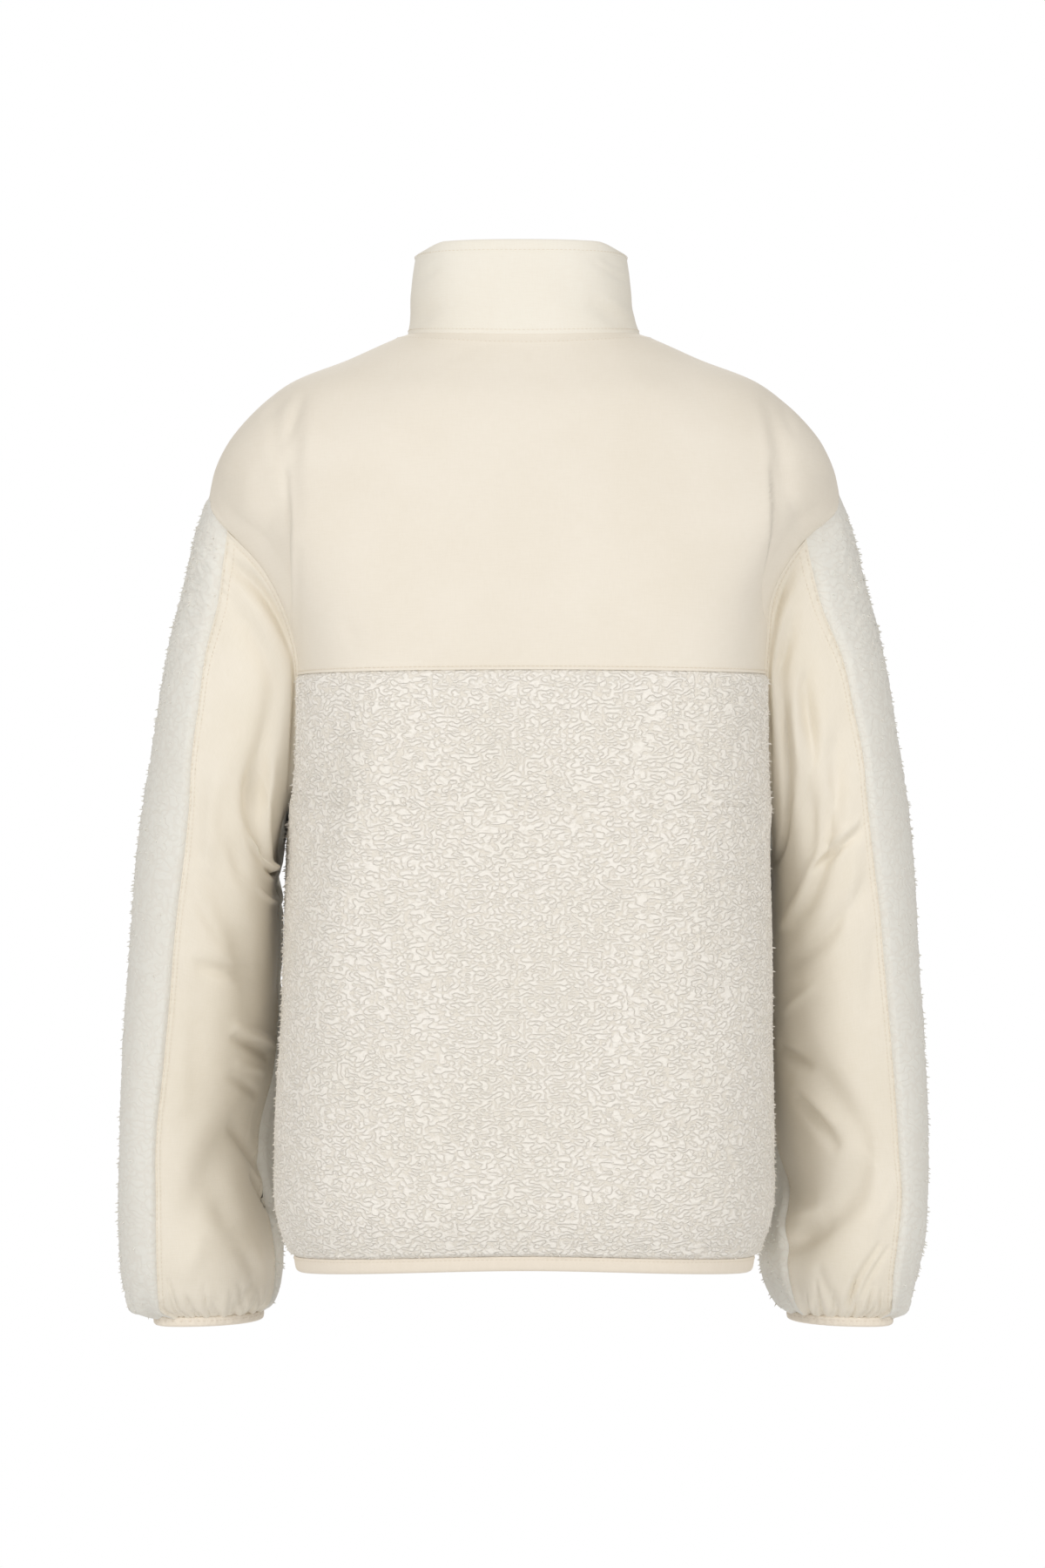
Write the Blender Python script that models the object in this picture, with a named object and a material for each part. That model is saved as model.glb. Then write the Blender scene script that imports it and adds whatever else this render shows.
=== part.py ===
"""High-pile fleece jacket, filled out as if worn: a back and two fronts of fleece under a woven yoke,
sleeves of fleece with a woven strip down the back of the arm, a stand collar and a zipped front.

Metres, +Z up, the front of the jacket faces -Y and the wearer's left is +X. The origin is the middle
of the neck at the height of the shoulders, where the wearer carries the jacket.

Every cloth piece is a wall on one of three surfaces: the body and the collar are stacks of rings
round the wearer, and a sleeve is a stack of rings from the armhole to the cuff. The surfaces are the
woven cloth's outer face, and fleece stands above them by the height of its pile."""

import math

import bpy
import numpy as np
from mathutils import Matrix
from mathutils.bvhtree import BVHTree

# Cloth
WOVEN = 0.0020              # woven shell with its lining
PILE = 0.0040               # how far the fleece pile stands above the woven cloth
COLLAR_CLOTH = 0.0030       # two layers of woven cloth
SEAM_GAP = 0.0003
PILE_RISE = 0.006           # pressed flat at a seam, the pile stands again this far from it
PRESSED_AT_SEAM = 0.12      # the share of its height that it keeps there
PILE_ROOM = 0.45            # the share that pile takes of the room between sleeve and body
PILE_CLEAR = 0.0009         # less this, as the two faces are made of flat facets

# Heights up the centre back, measured along the cloth from the hem
HEM_BAND = 0.011
UNDERARM = 0.320
SHOULDER_TIP = 0.545
NECK = 0.650
COLLAR_BAND = 0.709
COLLAR_TOP = 0.718
YOKE_SEAM_DEGREES = 80      # where the yoke seam meets the armhole, from the underarm

# The shoulder seam runs this share of a quarter ring in front of the shoulder's crest at the neck
SEAM_FORWARD = 0.30
# Beside the armhole a ring would meet its other half at these depths, but the armhole cuts it short
SIDE_SEAM_Y = -0.010
CREST_Y = 0.000

# Rings of the body. height: up the centre back. mid: the ring's point on the centre line, end: its
# point at the side seam or on the crest of the shoulder. square: 2 is round, more is squarer.
RING_COLUMNS = ("height", "mid_y", "mid_z", "end_x", "end_y", "end_z", "square")
BACK_RINGS = (
    (0.000, 0.105, -0.6300, 0.1560, -0.010, -0.6390, 3.0),
    (0.011, 0.108, -0.6195, 0.1575, -0.010, -0.6280, 3.0),
    (0.034, 0.118, -0.5975, 0.1655, -0.010, -0.6040, 3.0),
    (0.085, 0.122, -0.5490, 0.1675, -0.010, -0.5540, 3.1),
    (0.180, 0.123, -0.4565, 0.1640, -0.010, -0.4600, 3.3),
    (0.260, 0.124, -0.3785, 0.1620, -0.010, -0.3810, 3.4),
    (0.300, 0.125, -0.3400, 0.1612, -0.010, -0.3420, 3.5),
    (0.320, 0.126, -0.3200, 0.1620, -0.010, -0.3220, 3.5),
    (0.370, 0.128, -0.2700, 0.1580, 0.030, -0.2740, 3.6),
    (0.413, 0.129, -0.2290, 0.1590, 0.050, -0.2320, 3.6),
    (0.460, 0.127, -0.1810, 0.1660, 0.054, -0.1880, 3.4),
    (0.500, 0.121, -0.1420, 0.1850, 0.050, -0.1490, 3.0),
    (0.530, 0.114, -0.1120, 0.2060, 0.034, -0.1200, 2.6),
    (0.545, 0.110, -0.0970, 0.2170, 0.000, -0.1060, 2.4),
    (0.558, 0.106, -0.0845, 0.2130, 0.001, -0.0885, 2.35),
    (0.572, 0.102, -0.0710, 0.2040, 0.002, -0.0705, 2.3),
    (0.600, 0.092, -0.0440, 0.1650, 0.003, -0.0320, 2.2),
    (0.625, 0.080, -0.0245, 0.1200, 0.003, -0.0130, 2.2),
    (0.642, 0.070, -0.0085, 0.0900, 0.001, 0.0005, 2.2),
    (0.650, 0.066, -0.0008, 0.0800, 0.000, 0.0040, 2.2),
)
FRONT_RINGS = (
    (0.000, -0.118, -0.6400, 0.1560, -0.010, -0.6390, 2.6),
    (0.011, -0.121, -0.6290, 0.1575, -0.010, -0.6280, 2.6),
    (0.034, -0.132, -0.6060, 0.1655, -0.010, -0.6040, 2.6),
    (0.085, -0.137, -0.5550, 0.1675, -0.010, -0.5540, 2.6),
    (0.180, -0.141, -0.4620, 0.1640, -0.010, -0.4600, 2.7),
    (0.260, -0.145, -0.3840, 0.1620, -0.010, -0.3810, 2.7),
    (0.300, -0.146, -0.3450, 0.1612, -0.010, -0.3420, 2.7),
    (0.320, -0.147, -0.3260, 0.1620, -0.010, -0.3220, 2.7),
    (0.370, -0.146, -0.2790, 0.1560, -0.060, -0.2740, 2.7),
    (0.413, -0.142, -0.2390, 0.1560, -0.076, -0.2320, 2.8),
    (0.460, -0.136, -0.1970, 0.1640, -0.078, -0.1880, 2.8),
    (0.500, -0.129, -0.1620, 0.1840, -0.070, -0.1490, 2.7),
    (0.530, -0.122, -0.1370, 0.2060, -0.046, -0.1200, 2.5),
    (0.545, -0.118, -0.1250, 0.2170, 0.000, -0.1060, 2.4),
    (0.558, -0.115, -0.1165, 0.2130, 0.001, -0.0885, 2.35),
    (0.572, -0.111, -0.1070, 0.2040, 0.002, -0.0705, 2.3),
    (0.600, -0.104, -0.0890, 0.1650, 0.003, -0.0320, 2.2),
    (0.625, -0.096, -0.0740, 0.1200, 0.003, -0.0130, 2.2),
    (0.642, -0.090, -0.0640, 0.0900, 0.001, 0.0005, 2.2),
    (0.650, -0.087, -0.0600, 0.0800, 0.000, 0.0040, 2.2),
)
COLLAR_BACK_RINGS = (
    (0.650, 0.0660, -0.0008, 0.0800, 0.000, 0.0040, 2.2),
    (0.665, 0.0658, 0.0134, 0.0765, -0.002, 0.0175, 2.3),
    (0.680, 0.0655, 0.0276, 0.0755, -0.003, 0.0310, 2.4),
    (0.709, 0.0630, 0.0547, 0.0730, -0.005, 0.0560, 2.5),
    (0.718, 0.0620, 0.0637, 0.0718, -0.006, 0.0645, 2.4),
)
COLLAR_FRONT_RINGS = (
    (0.650, -0.0870, -0.0600, 0.0800, 0.000, 0.0040, 2.2),
    (0.665, -0.0872, -0.0450, 0.0765, -0.002, 0.0175, 2.3),
    (0.680, -0.0870, -0.0300, 0.0755, -0.003, 0.0310, 2.3),
    (0.709, -0.0840, -0.0020, 0.0730, -0.005, 0.0560, 2.4),
    (0.718, -0.0830, 0.0065, 0.0718, -0.006, 0.0645, 2.4),
)

# The armhole, from the underarm (0 degrees) round to the tip of the shoulder (180 degrees)
ARMHOLE_COLUMNS = ("degrees", "x", "y", "z")
ARMHOLE_BACK = (
    (0, 0.1620, -0.010, -0.3220),
    (30, 0.1600, 0.020, -0.3060),
    (60, 0.1580, 0.043, -0.2660),
    (90, 0.1600, 0.053, -0.2130),
    (120, 0.1790, 0.052, -0.1630),
    (150, 0.2105, 0.032, -0.1240),
    (180, 0.2170, 0.000, -0.1060),
)
ARMHOLE_FRONT = (
    (0, 0.1620, -0.010, -0.3220),
    (30, 0.1585, -0.043, -0.3060),
    (60, 0.1540, -0.068, -0.2660),
    (90, 0.1560, -0.078, -0.2130),
    (120, 0.1735, -0.074, -0.1630),
    (150, 0.2075, -0.044, -0.1240),
    (180, 0.2170, 0.000, -0.1060),
)

# Rings of the sleeves. along: down the outside of the arm. outer and inner: the ring's points
# furthest from and nearest to the body. turn: degrees by which the sleeve's front leans to the body.
SLEEVE_COLUMNS = (
    "along", "outer_z", "inner_z", "outer_left", "inner_left", "outer_right", "inner_right",
    "mid_y", "half_depth", "turn", "square")
SLEEVE_RINGS = (
    (0.000, -0.1060, -0.3220, 0.2170, 0.1620, 0.2170, 0.1620, -0.0120, 0.0650, 0, 2.0),
    (0.020, -0.1250, -0.3310, 0.2215, 0.1672, 0.2215, 0.1672, -0.0130, 0.0670, 1, 2.1),
    (0.050, -0.1550, -0.3420, 0.2280, 0.1700, 0.2285, 0.1700, -0.0140, 0.0690, 2, 2.1),
    (0.100, -0.2030, -0.3580, 0.2395, 0.1725, 0.2410, 0.1725, -0.0160, 0.0710, 4, 2.2),
    (0.170, -0.2750, -0.3860, 0.2510, 0.1730, 0.2530, 0.1735, -0.0200, 0.0710, 7, 2.2),
    (0.245, -0.3470, -0.4180, 0.2610, 0.1735, 0.2620, 0.1735, -0.0240, 0.0700, 10, 2.2),
    (0.320, -0.4200, -0.4560, 0.2670, 0.1750, 0.2665, 0.1735, -0.0290, 0.0680, 13, 2.2),
    (0.390, -0.4900, -0.5040, 0.2720, 0.1795, 0.2715, 0.1740, -0.0340, 0.0660, 16, 2.2),
    (0.460, -0.5605, -0.5600, 0.2745, 0.1870, 0.2740, 0.1815, -0.0390, 0.0640, 18, 2.2),
    (0.487, -0.5885, -0.5870, 0.2755, 0.1835, 0.2737, 0.1850, -0.0410, 0.0630, 18, 2.2),
    (0.515, -0.6175, -0.6145, 0.2755, 0.1785, 0.2725, 0.1750, -0.0430, 0.0620, 18, 2.2),
    (0.545, -0.6480, -0.6450, 0.2740, 0.1745, 0.2670, 0.1710, -0.0450, 0.0570, 17, 2.2),
    (0.556, -0.6605, -0.6585, 0.2725, 0.1755, 0.2655, 0.1745, -0.0460, 0.0520, 16, 2.2),
    (0.564, -0.6690, -0.6680, 0.2700, 0.1785, 0.2640, 0.1795, -0.0470, 0.0450, 15, 2.2),
    (0.570, -0.6742, -0.6732, 0.2580, 0.1835, 0.2560, 0.1850, -0.0470, 0.0370, 15, 2.2),
    (0.579, -0.6832, -0.6822, 0.2570, 0.1845, 0.2560, 0.1860, -0.0470, 0.0360, 15, 2.2),
)
ARMHOLE_FADE = 0.150        # the armhole's own outline has turned into the round sleeve by here
SLEEVE_END = 0.570
CUFF_END = 0.579
SLEEVE_GIRTH = 0.40
# The seams between a sleeve's two panels, in degrees round it
SEAM_COLUMNS = ("along", "inner_left", "outer_left", "inner_right", "outer_right")
SLEEVE_SEAMS = (
    (0.000, 12, 142, 14, 129),
    (0.040, 8, 135, 10, 126),
    (0.080, -4, 127, -2, 124),
    (0.110, -12, 114, -10, 115),
    (0.150, -18, 103, -16, 108),
    (0.200, -22, 98, -20, 104),
    (0.300, -24, 96, -24, 104),
    (0.400, -20, 93, -24, 104),
    (0.465, -14, 93, -22, 103),
    (0.540, -12, 103, 22, 113),
    (0.570, -2, 111, 30, 121),
)
SLEEVE_SEAM_GAP = 0.0005    # wider, as folds cross these seams
GATHER_DEPTH = 0.0022       # of the upright pleats that the cuff's elastic draws into each panel
GATHER_LENGTH = 0.030

# Folds: a soft trough (depth below 0) or ridge between two points, with its half width.
# On a sleeve the points are along the arm and degrees round it, on the body they are height and x.
SLEEVE_FOLDS = {
    "left": (
        (0.040, 88, 0.120, 40, 0.012, -0.0070),
        (0.060, 62, 0.130, 20, 0.011, 0.0050),
        (0.200, 75, 0.285, 28, 0.020, -0.0060),
        (0.290, 30, 0.300, 70, 0.008, -0.0040),
        (0.330, 82, 0.420, 60, 0.016, -0.0030),
        (0.440, 20, 0.500, 66, 0.016, -0.0060),
        (0.070, 190, 0.180, 176, 0.016, -0.0030),
        (0.060, 300, 0.150, 334, 0.014, -0.0070),
        (0.210, 250, 0.300, 318, 0.018, -0.0050),
        (0.400, 232, 0.470, 284, 0.018, -0.0050),
        (0.340, 320, 0.510, 320, 0.020, 0.0110),
    ),
    "right": (
        (0.030, 84, 0.060, 50, 0.010, -0.0055),
        (0.110, 92, 0.200, 42, 0.014, -0.0085),
        (0.150, 62, 0.210, 20, 0.012, 0.0050),
        (0.240, 84, 0.270, 28, 0.014, -0.0050),
        (0.380, 34, 0.440, 66, 0.014, -0.0060),
        (0.460, 72, 0.520, 36, 0.014, -0.0060),
        (0.080, 186, 0.170, 172, 0.016, -0.0030),
        (0.050, 310, 0.140, 334, 0.014, -0.0070),
        (0.230, 256, 0.310, 322, 0.018, -0.0050),
        (0.390, 232, 0.480, 284, 0.018, -0.0050),
        (0.340, 320, 0.510, 320, 0.020, 0.0070),
    ),
}
BACK_FOLDS = (
    (0.525, 0.163, 0.440, 0.166, 0.010, -0.0060),
    (0.525, -0.166, 0.440, -0.168, 0.010, -0.0060),
    (0.390, 0.128, 0.270, 0.148, 0.018, -0.0045),
    (0.380, 0.100, 0.200, 0.140, 0.016, 0.0025),
    (0.300, -0.140, 0.160, -0.120, 0.022, -0.0030),
)
FRONT_FOLDS = (
    (0.520, 0.150, 0.430, 0.140, 0.012, -0.0060),
    (0.520, -0.150, 0.430, -0.142, 0.012, -0.0060),
    (0.370, 0.120, 0.260, 0.080, 0.018, -0.0040),
    (0.360, -0.126, 0.250, -0.092, 0.018, -0.0040),
    (0.200, 0.110, 0.080, 0.120, 0.024, -0.0035),
    (0.180, -0.104, 0.060, -0.118, 0.024, -0.0035),
)
STILL_AT_SEAM = 0.12        # folds die out over this share of a quarter ring at the side seams

# The wearer stands a little askew. Seen from behind, the body sits to the right of the centre below
# the yoke, the right armhole rides higher and the collar leans to the left.
BODY_SHIFT = -0.0055
ARMHOLE_LIFT = 0.013
COLLAR_SHIFT = 0.0022

# Zip
ZIP_HALF_OPENING = 0.0050   # from the centre front to the edge of each front
CHAIN_HALF_GAP = 0.00015
TAPE_EDGE = 0.0012
CHAIN_HALF_WIDTH = 0.0028
CHAIN_THICKNESS = 0.0018
TAPE_THICKNESS = 0.0008
TAPE_REACH = 0.0150         # from the centre front to the tape's outer edge
TAPE_DEPTHS = ((0.0015, 0.0033), (0.0110, 0.0033), (0.0135, 0.0028), (0.6440, 0.0028),
               (0.6485, 0.0046), (0.6520, 0.0046), (0.6580, 0.0043), (0.7165, 0.0040))
SLIDER_HEIGHT = 0.7020
PLATE = (0.0080, 0.0110)    # the slider's plates: width, length
FRONT_PLATE = (0.0012, 0.0025)  # near and far face, from the middle of the chain
BACK_PLATE = (-0.0022, -0.0012)
POST_HALF_WIDTH = 0.0007
POST_FOOT = 0.0030
BAIL_WIDTH = 0.0016
BAIL_TUNNEL = (0.0020, 0.0052)  # height and length of the hole that the pull's bar lies in
BAIL_WALL = 0.0010
PULL_WIDTH = 0.0044
PULL_LENGTH = 0.0240
PULL_THICKNESS = 0.0010
PULL_BAR = 0.0006           # from the hinge to the pull's upper edge
PULL_EYE = (0.0024, 0.0044)

# Mesh steps
BODY_HALF_COLUMNS = 11
ROWS_BELOW_UNDERARM = 9
ARMHOLE_STEP = 10           # degrees
ROWS_ABOVE_TIP = 6
SLEEVE_ROWS = 13
COLLAR_COLUMNS = 33
HEM_COLUMNS = 43
CUFF_COLUMNS = 36

COLOURS = {                 # linear red, green, blue, then roughness and metallic
    "fleece": (0.83, 0.79, 0.69, 0.95, 0.0),
    "woven": (0.82, 0.74, 0.61, 0.75, 0.0),
    "binding": (0.81, 0.74, 0.62, 0.65, 0.0),
    "zip_tape": (0.78, 0.71, 0.60, 0.60, 0.0),
    "zip_hardware": (0.74, 0.67, 0.55, 0.35, 0.0),
}
OUTWARD = {"left": 1.0, "right": -1.0}


def spline(at, knots, values):
    """A smooth curve through the knots, whose slope at each comes from its two neighbours."""
    knots = np.asarray(knots, float)
    values = np.asarray(values, float)
    step = np.diff(knots)
    rise = np.diff(values) / step
    slope = np.empty_like(values)
    slope[0] = rise[0]
    slope[-1] = rise[-1]
    slope[1:-1] = (rise[:-1] * step[1:] + rise[1:] * step[:-1]) / (step[1:] + step[:-1])
    at = np.clip(at, knots[0], knots[-1])
    i = np.clip(np.searchsorted(knots, at, side="right") - 1, 0, len(step) - 1)
    t = (at - knots[i]) / step[i]
    return (
        values[i] * (1 + 2 * t) * (1 - t) ** 2
        + slope[i] * step[i] * t * (1 - t) ** 2
        + values[i + 1] * t**2 * (3 - 2 * t)
        + slope[i + 1] * step[i] * t**2 * (t - 1)
    )


def column(table, columns, name):
    return np.array([row[columns.index(name)] for row in table], float)


def smooth(t):
    t = np.clip(t, 0.0, 1.0)
    return t * t * (3 - 2 * t)


def squared_round(angle, square):
    """The sine and cosine of a round corner, pushed out to that of a squarer one."""
    reach = (np.abs(np.sin(angle)) ** square + np.abs(np.cos(angle)) ** square) ** (-1 / square)
    return np.sin(angle) * reach, np.cos(angle) * reach


def fold_lift(a, b, folds, b_scale):
    """How far the folds lift the cloth at (a, b). b_scale turns b into metres."""
    lift = np.zeros(np.broadcast(a, b).shape)
    for from_a, from_b, to_a, to_b, half_width, depth in folds:
        run_a = to_a - from_a
        run_b = (to_b - from_b) * b_scale
        rel_a = a - from_a
        rel_b = (b - from_b) * b_scale
        t = np.clip((rel_a * run_a + rel_b * run_b) / (run_a**2 + run_b**2), 0, 1)
        away = (rel_a - t * run_a) ** 2 + (rel_b - t * run_b) ** 2
        fullness = 0.55 + 0.45 * np.sin(np.pi * t)
        lift = lift + depth * fullness * np.exp(-away / half_width**2)
    return lift


def armhole_height(degrees):
    return UNDERARM + (SHOULDER_TIP - UNDERARM) * (1 - np.cos(np.radians(degrees))) / 2


def armhole_degrees(height):
    share = (height - UNDERARM) / (SHOULDER_TIP - UNDERARM)
    return np.degrees(np.arccos(np.clip(1 - 2 * share, -1, 1)))


YOKE_SEAM = armhole_height(YOKE_SEAM_DEGREES)


def armhole_point(back, degrees):
    table = ARMHOLE_BACK if back else ARMHOLE_FRONT
    angles = column(table, ARMHOLE_COLUMNS, "degrees")
    return np.stack(
        [spline(degrees, angles, column(table, ARMHOLE_COLUMNS, axis)) for axis in "xyz"], -1)


def armhole_loop(degrees):
    """The armhole as a whole loop: up its back to the tip of the shoulder, then down its front."""
    degrees = np.mod(degrees, 360)
    back = armhole_point(True, np.minimum(degrees, 180))
    front = armhole_point(False, np.clip(360 - degrees, 0, 180))
    return np.where((degrees <= 180)[..., None], back, front)


def ring_end(back, table, height, axis):
    """The end of a ring: on the side seam, then the armhole, then the crest of the shoulder."""
    knots = column(table, RING_COLUMNS, "height")
    values = column(table, RING_COLUMNS, ("end_x", "end_y", "end_z")[axis])
    below = knots <= UNDERARM
    above = knots >= SHOULDER_TIP
    side = spline(height, knots[below], values[below])
    crest = spline(height, knots[above], values[above])
    hole = armhole_point(back, armhole_degrees(height))[..., axis]
    return np.where(height <= UNDERARM, side, np.where(height >= SHOULDER_TIP, crest, hole))


def ring_point(across, mid_y, mid_z, end_x, end_y, end_z, square, side_y):
    """A point of half a ring. across: -1 and 1 at its ends, 0 in the middle. A whole half reaches
    side_y, and one that ends before it is cut short."""
    last_deep = np.clip((end_y - side_y) / (mid_y - side_y), 0, 0.9)
    last_wide = (1 - last_deep**square) ** (1 / square)
    last = np.arctan2(last_wide, last_deep)
    angle = np.abs(across) * last
    wide, deep = squared_round(angle, square)
    x = np.sign(across) * end_x * wide / last_wide
    y = side_y + (mid_y - side_y) * deep
    z = mid_z + (end_z - mid_z) * (np.sin(angle) / np.sin(last)) ** 2
    return np.stack(np.broadcast_arrays(x, y, z), -1)


def body_ring(back, height, across):
    table = BACK_RINGS if back else FRONT_RINGS
    knots = column(table, RING_COLUMNS, "height")
    mid_y, mid_z, square = [
        spline(height, knots, column(table, RING_COLUMNS, name))
        for name in ("mid_y", "mid_z", "square")]
    ends = [ring_end(back, table, height, axis) for axis in range(3)]
    share = smooth((height - UNDERARM) / (SHOULDER_TIP - UNDERARM))
    side_y = SIDE_SEAM_Y + (CREST_Y - SIDE_SEAM_Y) * share
    side_y = np.where(height > SHOULDER_TIP, ends[1], side_y)
    return ring_point(across, mid_y, mid_z, *ends, square, side_y)


def collar_ring(back, height, across):
    table = COLLAR_BACK_RINGS if back else COLLAR_FRONT_RINGS
    knots = column(table, RING_COLUMNS, "height")
    values = [spline(height, knots, column(table, RING_COLUMNS, name)) for name in RING_COLUMNS[1:]]
    return ring_point(across, *values, values[3])


def around(rings, height, turn):
    """A point of a whole ring. turn: 0 at the centre back, 1 and -1 at the sides, 2 at the front."""
    in_front = np.abs(turn) > 1
    front = rings(False, height, np.sign(turn) * (2 - np.abs(turn)))
    back = rings(True, height, np.clip(turn, -1, 1))
    return np.where(in_front[..., None], front, back)


def normals(surface, a, b, step_a, step_b):
    """Normals from the surface's own slopes."""
    along = surface(a + step_a, b) - surface(a - step_a, b)
    across = surface(a, b + step_b) - surface(a, b - step_b)
    normal = np.cross(along, across)
    return normal / np.linalg.norm(normal, axis=-1, keepdims=True)


def plain_body(height, turn):
    return around(body_ring, height, turn)


def body_surface(height, turn):
    point = plain_body(height, turn)
    normal = normals(plain_body, height, turn, 0.0005, 0.002)
    front = fold_lift(height, point[..., 0], FRONT_FOLDS, 1.0)
    back = fold_lift(height, point[..., 0], BACK_FOLDS, 1.0)
    lift = np.where(np.abs(turn) > 1, front, back)
    lift = lift * smooth(np.abs(np.abs(turn) - 1) / STILL_AT_SEAM)
    return point + normal * lift[..., None]


def collar_surface(height, turn):
    return around(collar_ring, height, turn)


def front_line(height, turn):
    """The body below the neck and the collar above it, for what runs up both."""
    body = plain_body(np.minimum(height, NECK), turn)
    return np.where((height > NECK)[..., None], collar_surface(height, turn), body)


def sleeve_section(side, along, degrees):
    """A sleeve ring: 0 degrees on its inner side, 90 at the back, 180 on the outside."""
    knots = column(SLEEVE_RINGS, SLEEVE_COLUMNS, "along")
    names = ("outer_z", "inner_z", "outer_" + side, "inner_" + side,
             "mid_y", "half_depth", "turn", "square")
    outer_z, inner_z, outer_x, inner_x, mid_y, half_depth, turn, square = [
        spline(along, knots, column(SLEEVE_RINGS, SLEEVE_COLUMNS, name)) for name in names]
    half_x = (outer_x - inner_x) / 2
    half_z = (outer_z - inner_z) / 2
    lean = half_depth * np.sin(np.radians(turn))
    half_2 = half_x**2 + half_z**2
    narrow = np.sqrt((half_2 - lean**2) / half_2)
    to_back, to_body = squared_round(np.radians(degrees), square)
    x = (outer_x + inner_x) / 2 - to_body * half_x * narrow + to_back * lean
    y = mid_y + to_back * half_depth * np.cos(np.radians(turn))
    z = (outer_z + inner_z) / 2 - to_body * half_z * narrow
    return np.stack(np.broadcast_arrays(x, y, z), -1)


def plain_sleeve(side):
    """The left sleeve's side of the body, with the rings of the side asked for."""
    def surface(along, degrees):
        along, degrees = np.broadcast_arrays(along, degrees)
        kept = (1 - smooth(along / ARMHOLE_FADE))[..., None]
        off_ring = armhole_loop(degrees) - sleeve_section(side, np.zeros_like(along), degrees)
        return sleeve_section(side, along, degrees) + kept * off_ring

    return surface


def sleeve_surface(side):
    plain = plain_sleeve(side)

    def surface(along, degrees):
        point = plain(along, degrees)
        normal = -normals(plain, along, degrees, 0.0005, 0.5)
        lift = fold_lift(along, np.mod(degrees, 360), SLEEVE_FOLDS[side], SLEEVE_GIRTH / 360)
        lift = lift * smooth(along / 0.03) * smooth((SLEEVE_END - along) / 0.02)
        return point + normal * lift[..., None]

    return surface


def sleeve_seam(name, along):
    return spline(along, column(SLEEVE_SEAMS, SEAM_COLUMNS, "along"),
                  column(SLEEVE_SEAMS, SEAM_COLUMNS, name))


def gathers(along, degrees, share, pleats):
    """Elastic in the cuff gathers each panel's end into small upright pleats."""
    near = smooth(1 - (SLEEVE_END - along) / GATHER_LENGTH)
    uneven = 0.75 + 0.25 * np.sin(np.radians(degrees) * 3)
    return GATHER_DEPTH * near * uneven * np.cos(2 * np.pi * share * pleats)


def askew(points):
    """The wearer's stance, as a bend of the space that all the pieces share."""
    x, y, z = points[..., 0], points[..., 1], points[..., 2]
    back = smooth((y + 0.03) / 0.10)
    beside = np.exp(-((x + 0.185) / 0.030) ** 2 - ((z + 0.155) / 0.050) ** 2)
    lower = smooth((z + 0.56) / 0.16) * (1 - smooth((z + 0.14) / 0.12))
    inner = 1 - smooth((np.abs(x) - 0.165) / 0.065)
    collar = smooth((z + 0.002) / 0.03) * smooth((y + 0.07) / 0.06)
    shift_x = BODY_SHIFT * lower * inner * back + COLLAR_SHIFT * collar
    return points + np.stack([shift_x, np.zeros_like(x), ARMHOLE_LIFT * beside * back], -1)


def mirrored(points, side):
    return points * np.array([OUTWARD[side], 1.0, 1.0])


def surface_tree(points):
    """The grid of points as a surface to measure distances to."""
    rows, columns = points.shape[:2]
    first = (np.arange(rows - 1)[:, None] * columns + np.arange(columns - 1)[None, :]).ravel()
    quads = np.stack([first, first + 1, first + columns + 1, first + columns], -1)
    return BVHTree.FromPolygons(points.reshape(-1, 3).tolist(), quads.tolist())


def sleeve_tree(side):
    along, degrees = np.meshgrid(np.linspace(0, SLEEVE_END, 110), np.arange(-150, 151, 3.0),
                                 indexing="ij")
    return surface_tree(mirrored(sleeve_surface(side)(along, degrees), side))


def body_tree(side):
    height, turn = np.meshgrid(np.linspace(0, SHOULDER_TIP, 110), np.arange(0.3, 1.7, 0.02),
                               indexing="ij")
    return surface_tree(body_surface(height, turn * OUTWARD[side]))


def pile_room(points, trees):
    """How high pile may stand before it meets that of the sleeve or the body beside it."""
    nearest = [min(tree.find_nearest(point)[3] for tree in trees)
               for point in points.reshape(-1, 3).tolist()]
    distance = np.array(nearest).reshape(points.shape[:-1])
    return np.maximum(PILE_ROOM * (distance - PILE_CLEAR), 0)


def pile_by_seams(distances):
    """The pile's height, from the distances to the seams around it."""
    height = PILE
    for distance in distances:
        height = height * smooth(PRESSED_AT_SEAM + (1 - PRESSED_AT_SEAM) * distance / PILE_RISE)
    return height


def material(name):
    red, green, blue, roughness, metallic = COLOURS[name]
    found = bpy.data.materials.get(name) or bpy.data.materials.new(name)
    found.use_nodes = True
    shader = found.node_tree.nodes["Principled BSDF"]
    shader.inputs["Base Color"].default_value = (red, green, blue, 1)
    shader.inputs["Roughness"].default_value = roughness
    shader.inputs["Metallic"].default_value = metallic
    found.diffuse_color = (red, green, blue, 1)
    return found


def add_object(name, mesh, colour, collection="fleece_jacket"):
    found = bpy.data.objects.new(name, mesh)
    mesh.materials.append(material(colour))
    bpy.data.collections[collection].objects.link(found)
    return found


def grid_quads(rows, columns, wraps):
    """Corners of the quads of a grid. wraps: its last column joins its first."""
    across = np.arange(columns if wraps else columns - 1)
    beside = (across + 1) % columns
    row = np.arange(rows - 1)[:, None] * columns
    quads = np.stack([row + across, row + beside, row + columns + beside, row + columns + across], -1)
    return quads.reshape(-1, 4)


def rim_quads(rim, count, wraps):
    following = np.roll(rim, -1) if wraps else rim[1:]
    start = rim if wraps else rim[:-1]
    return np.stack([start, start + count, following + count, following], -1)


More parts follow.
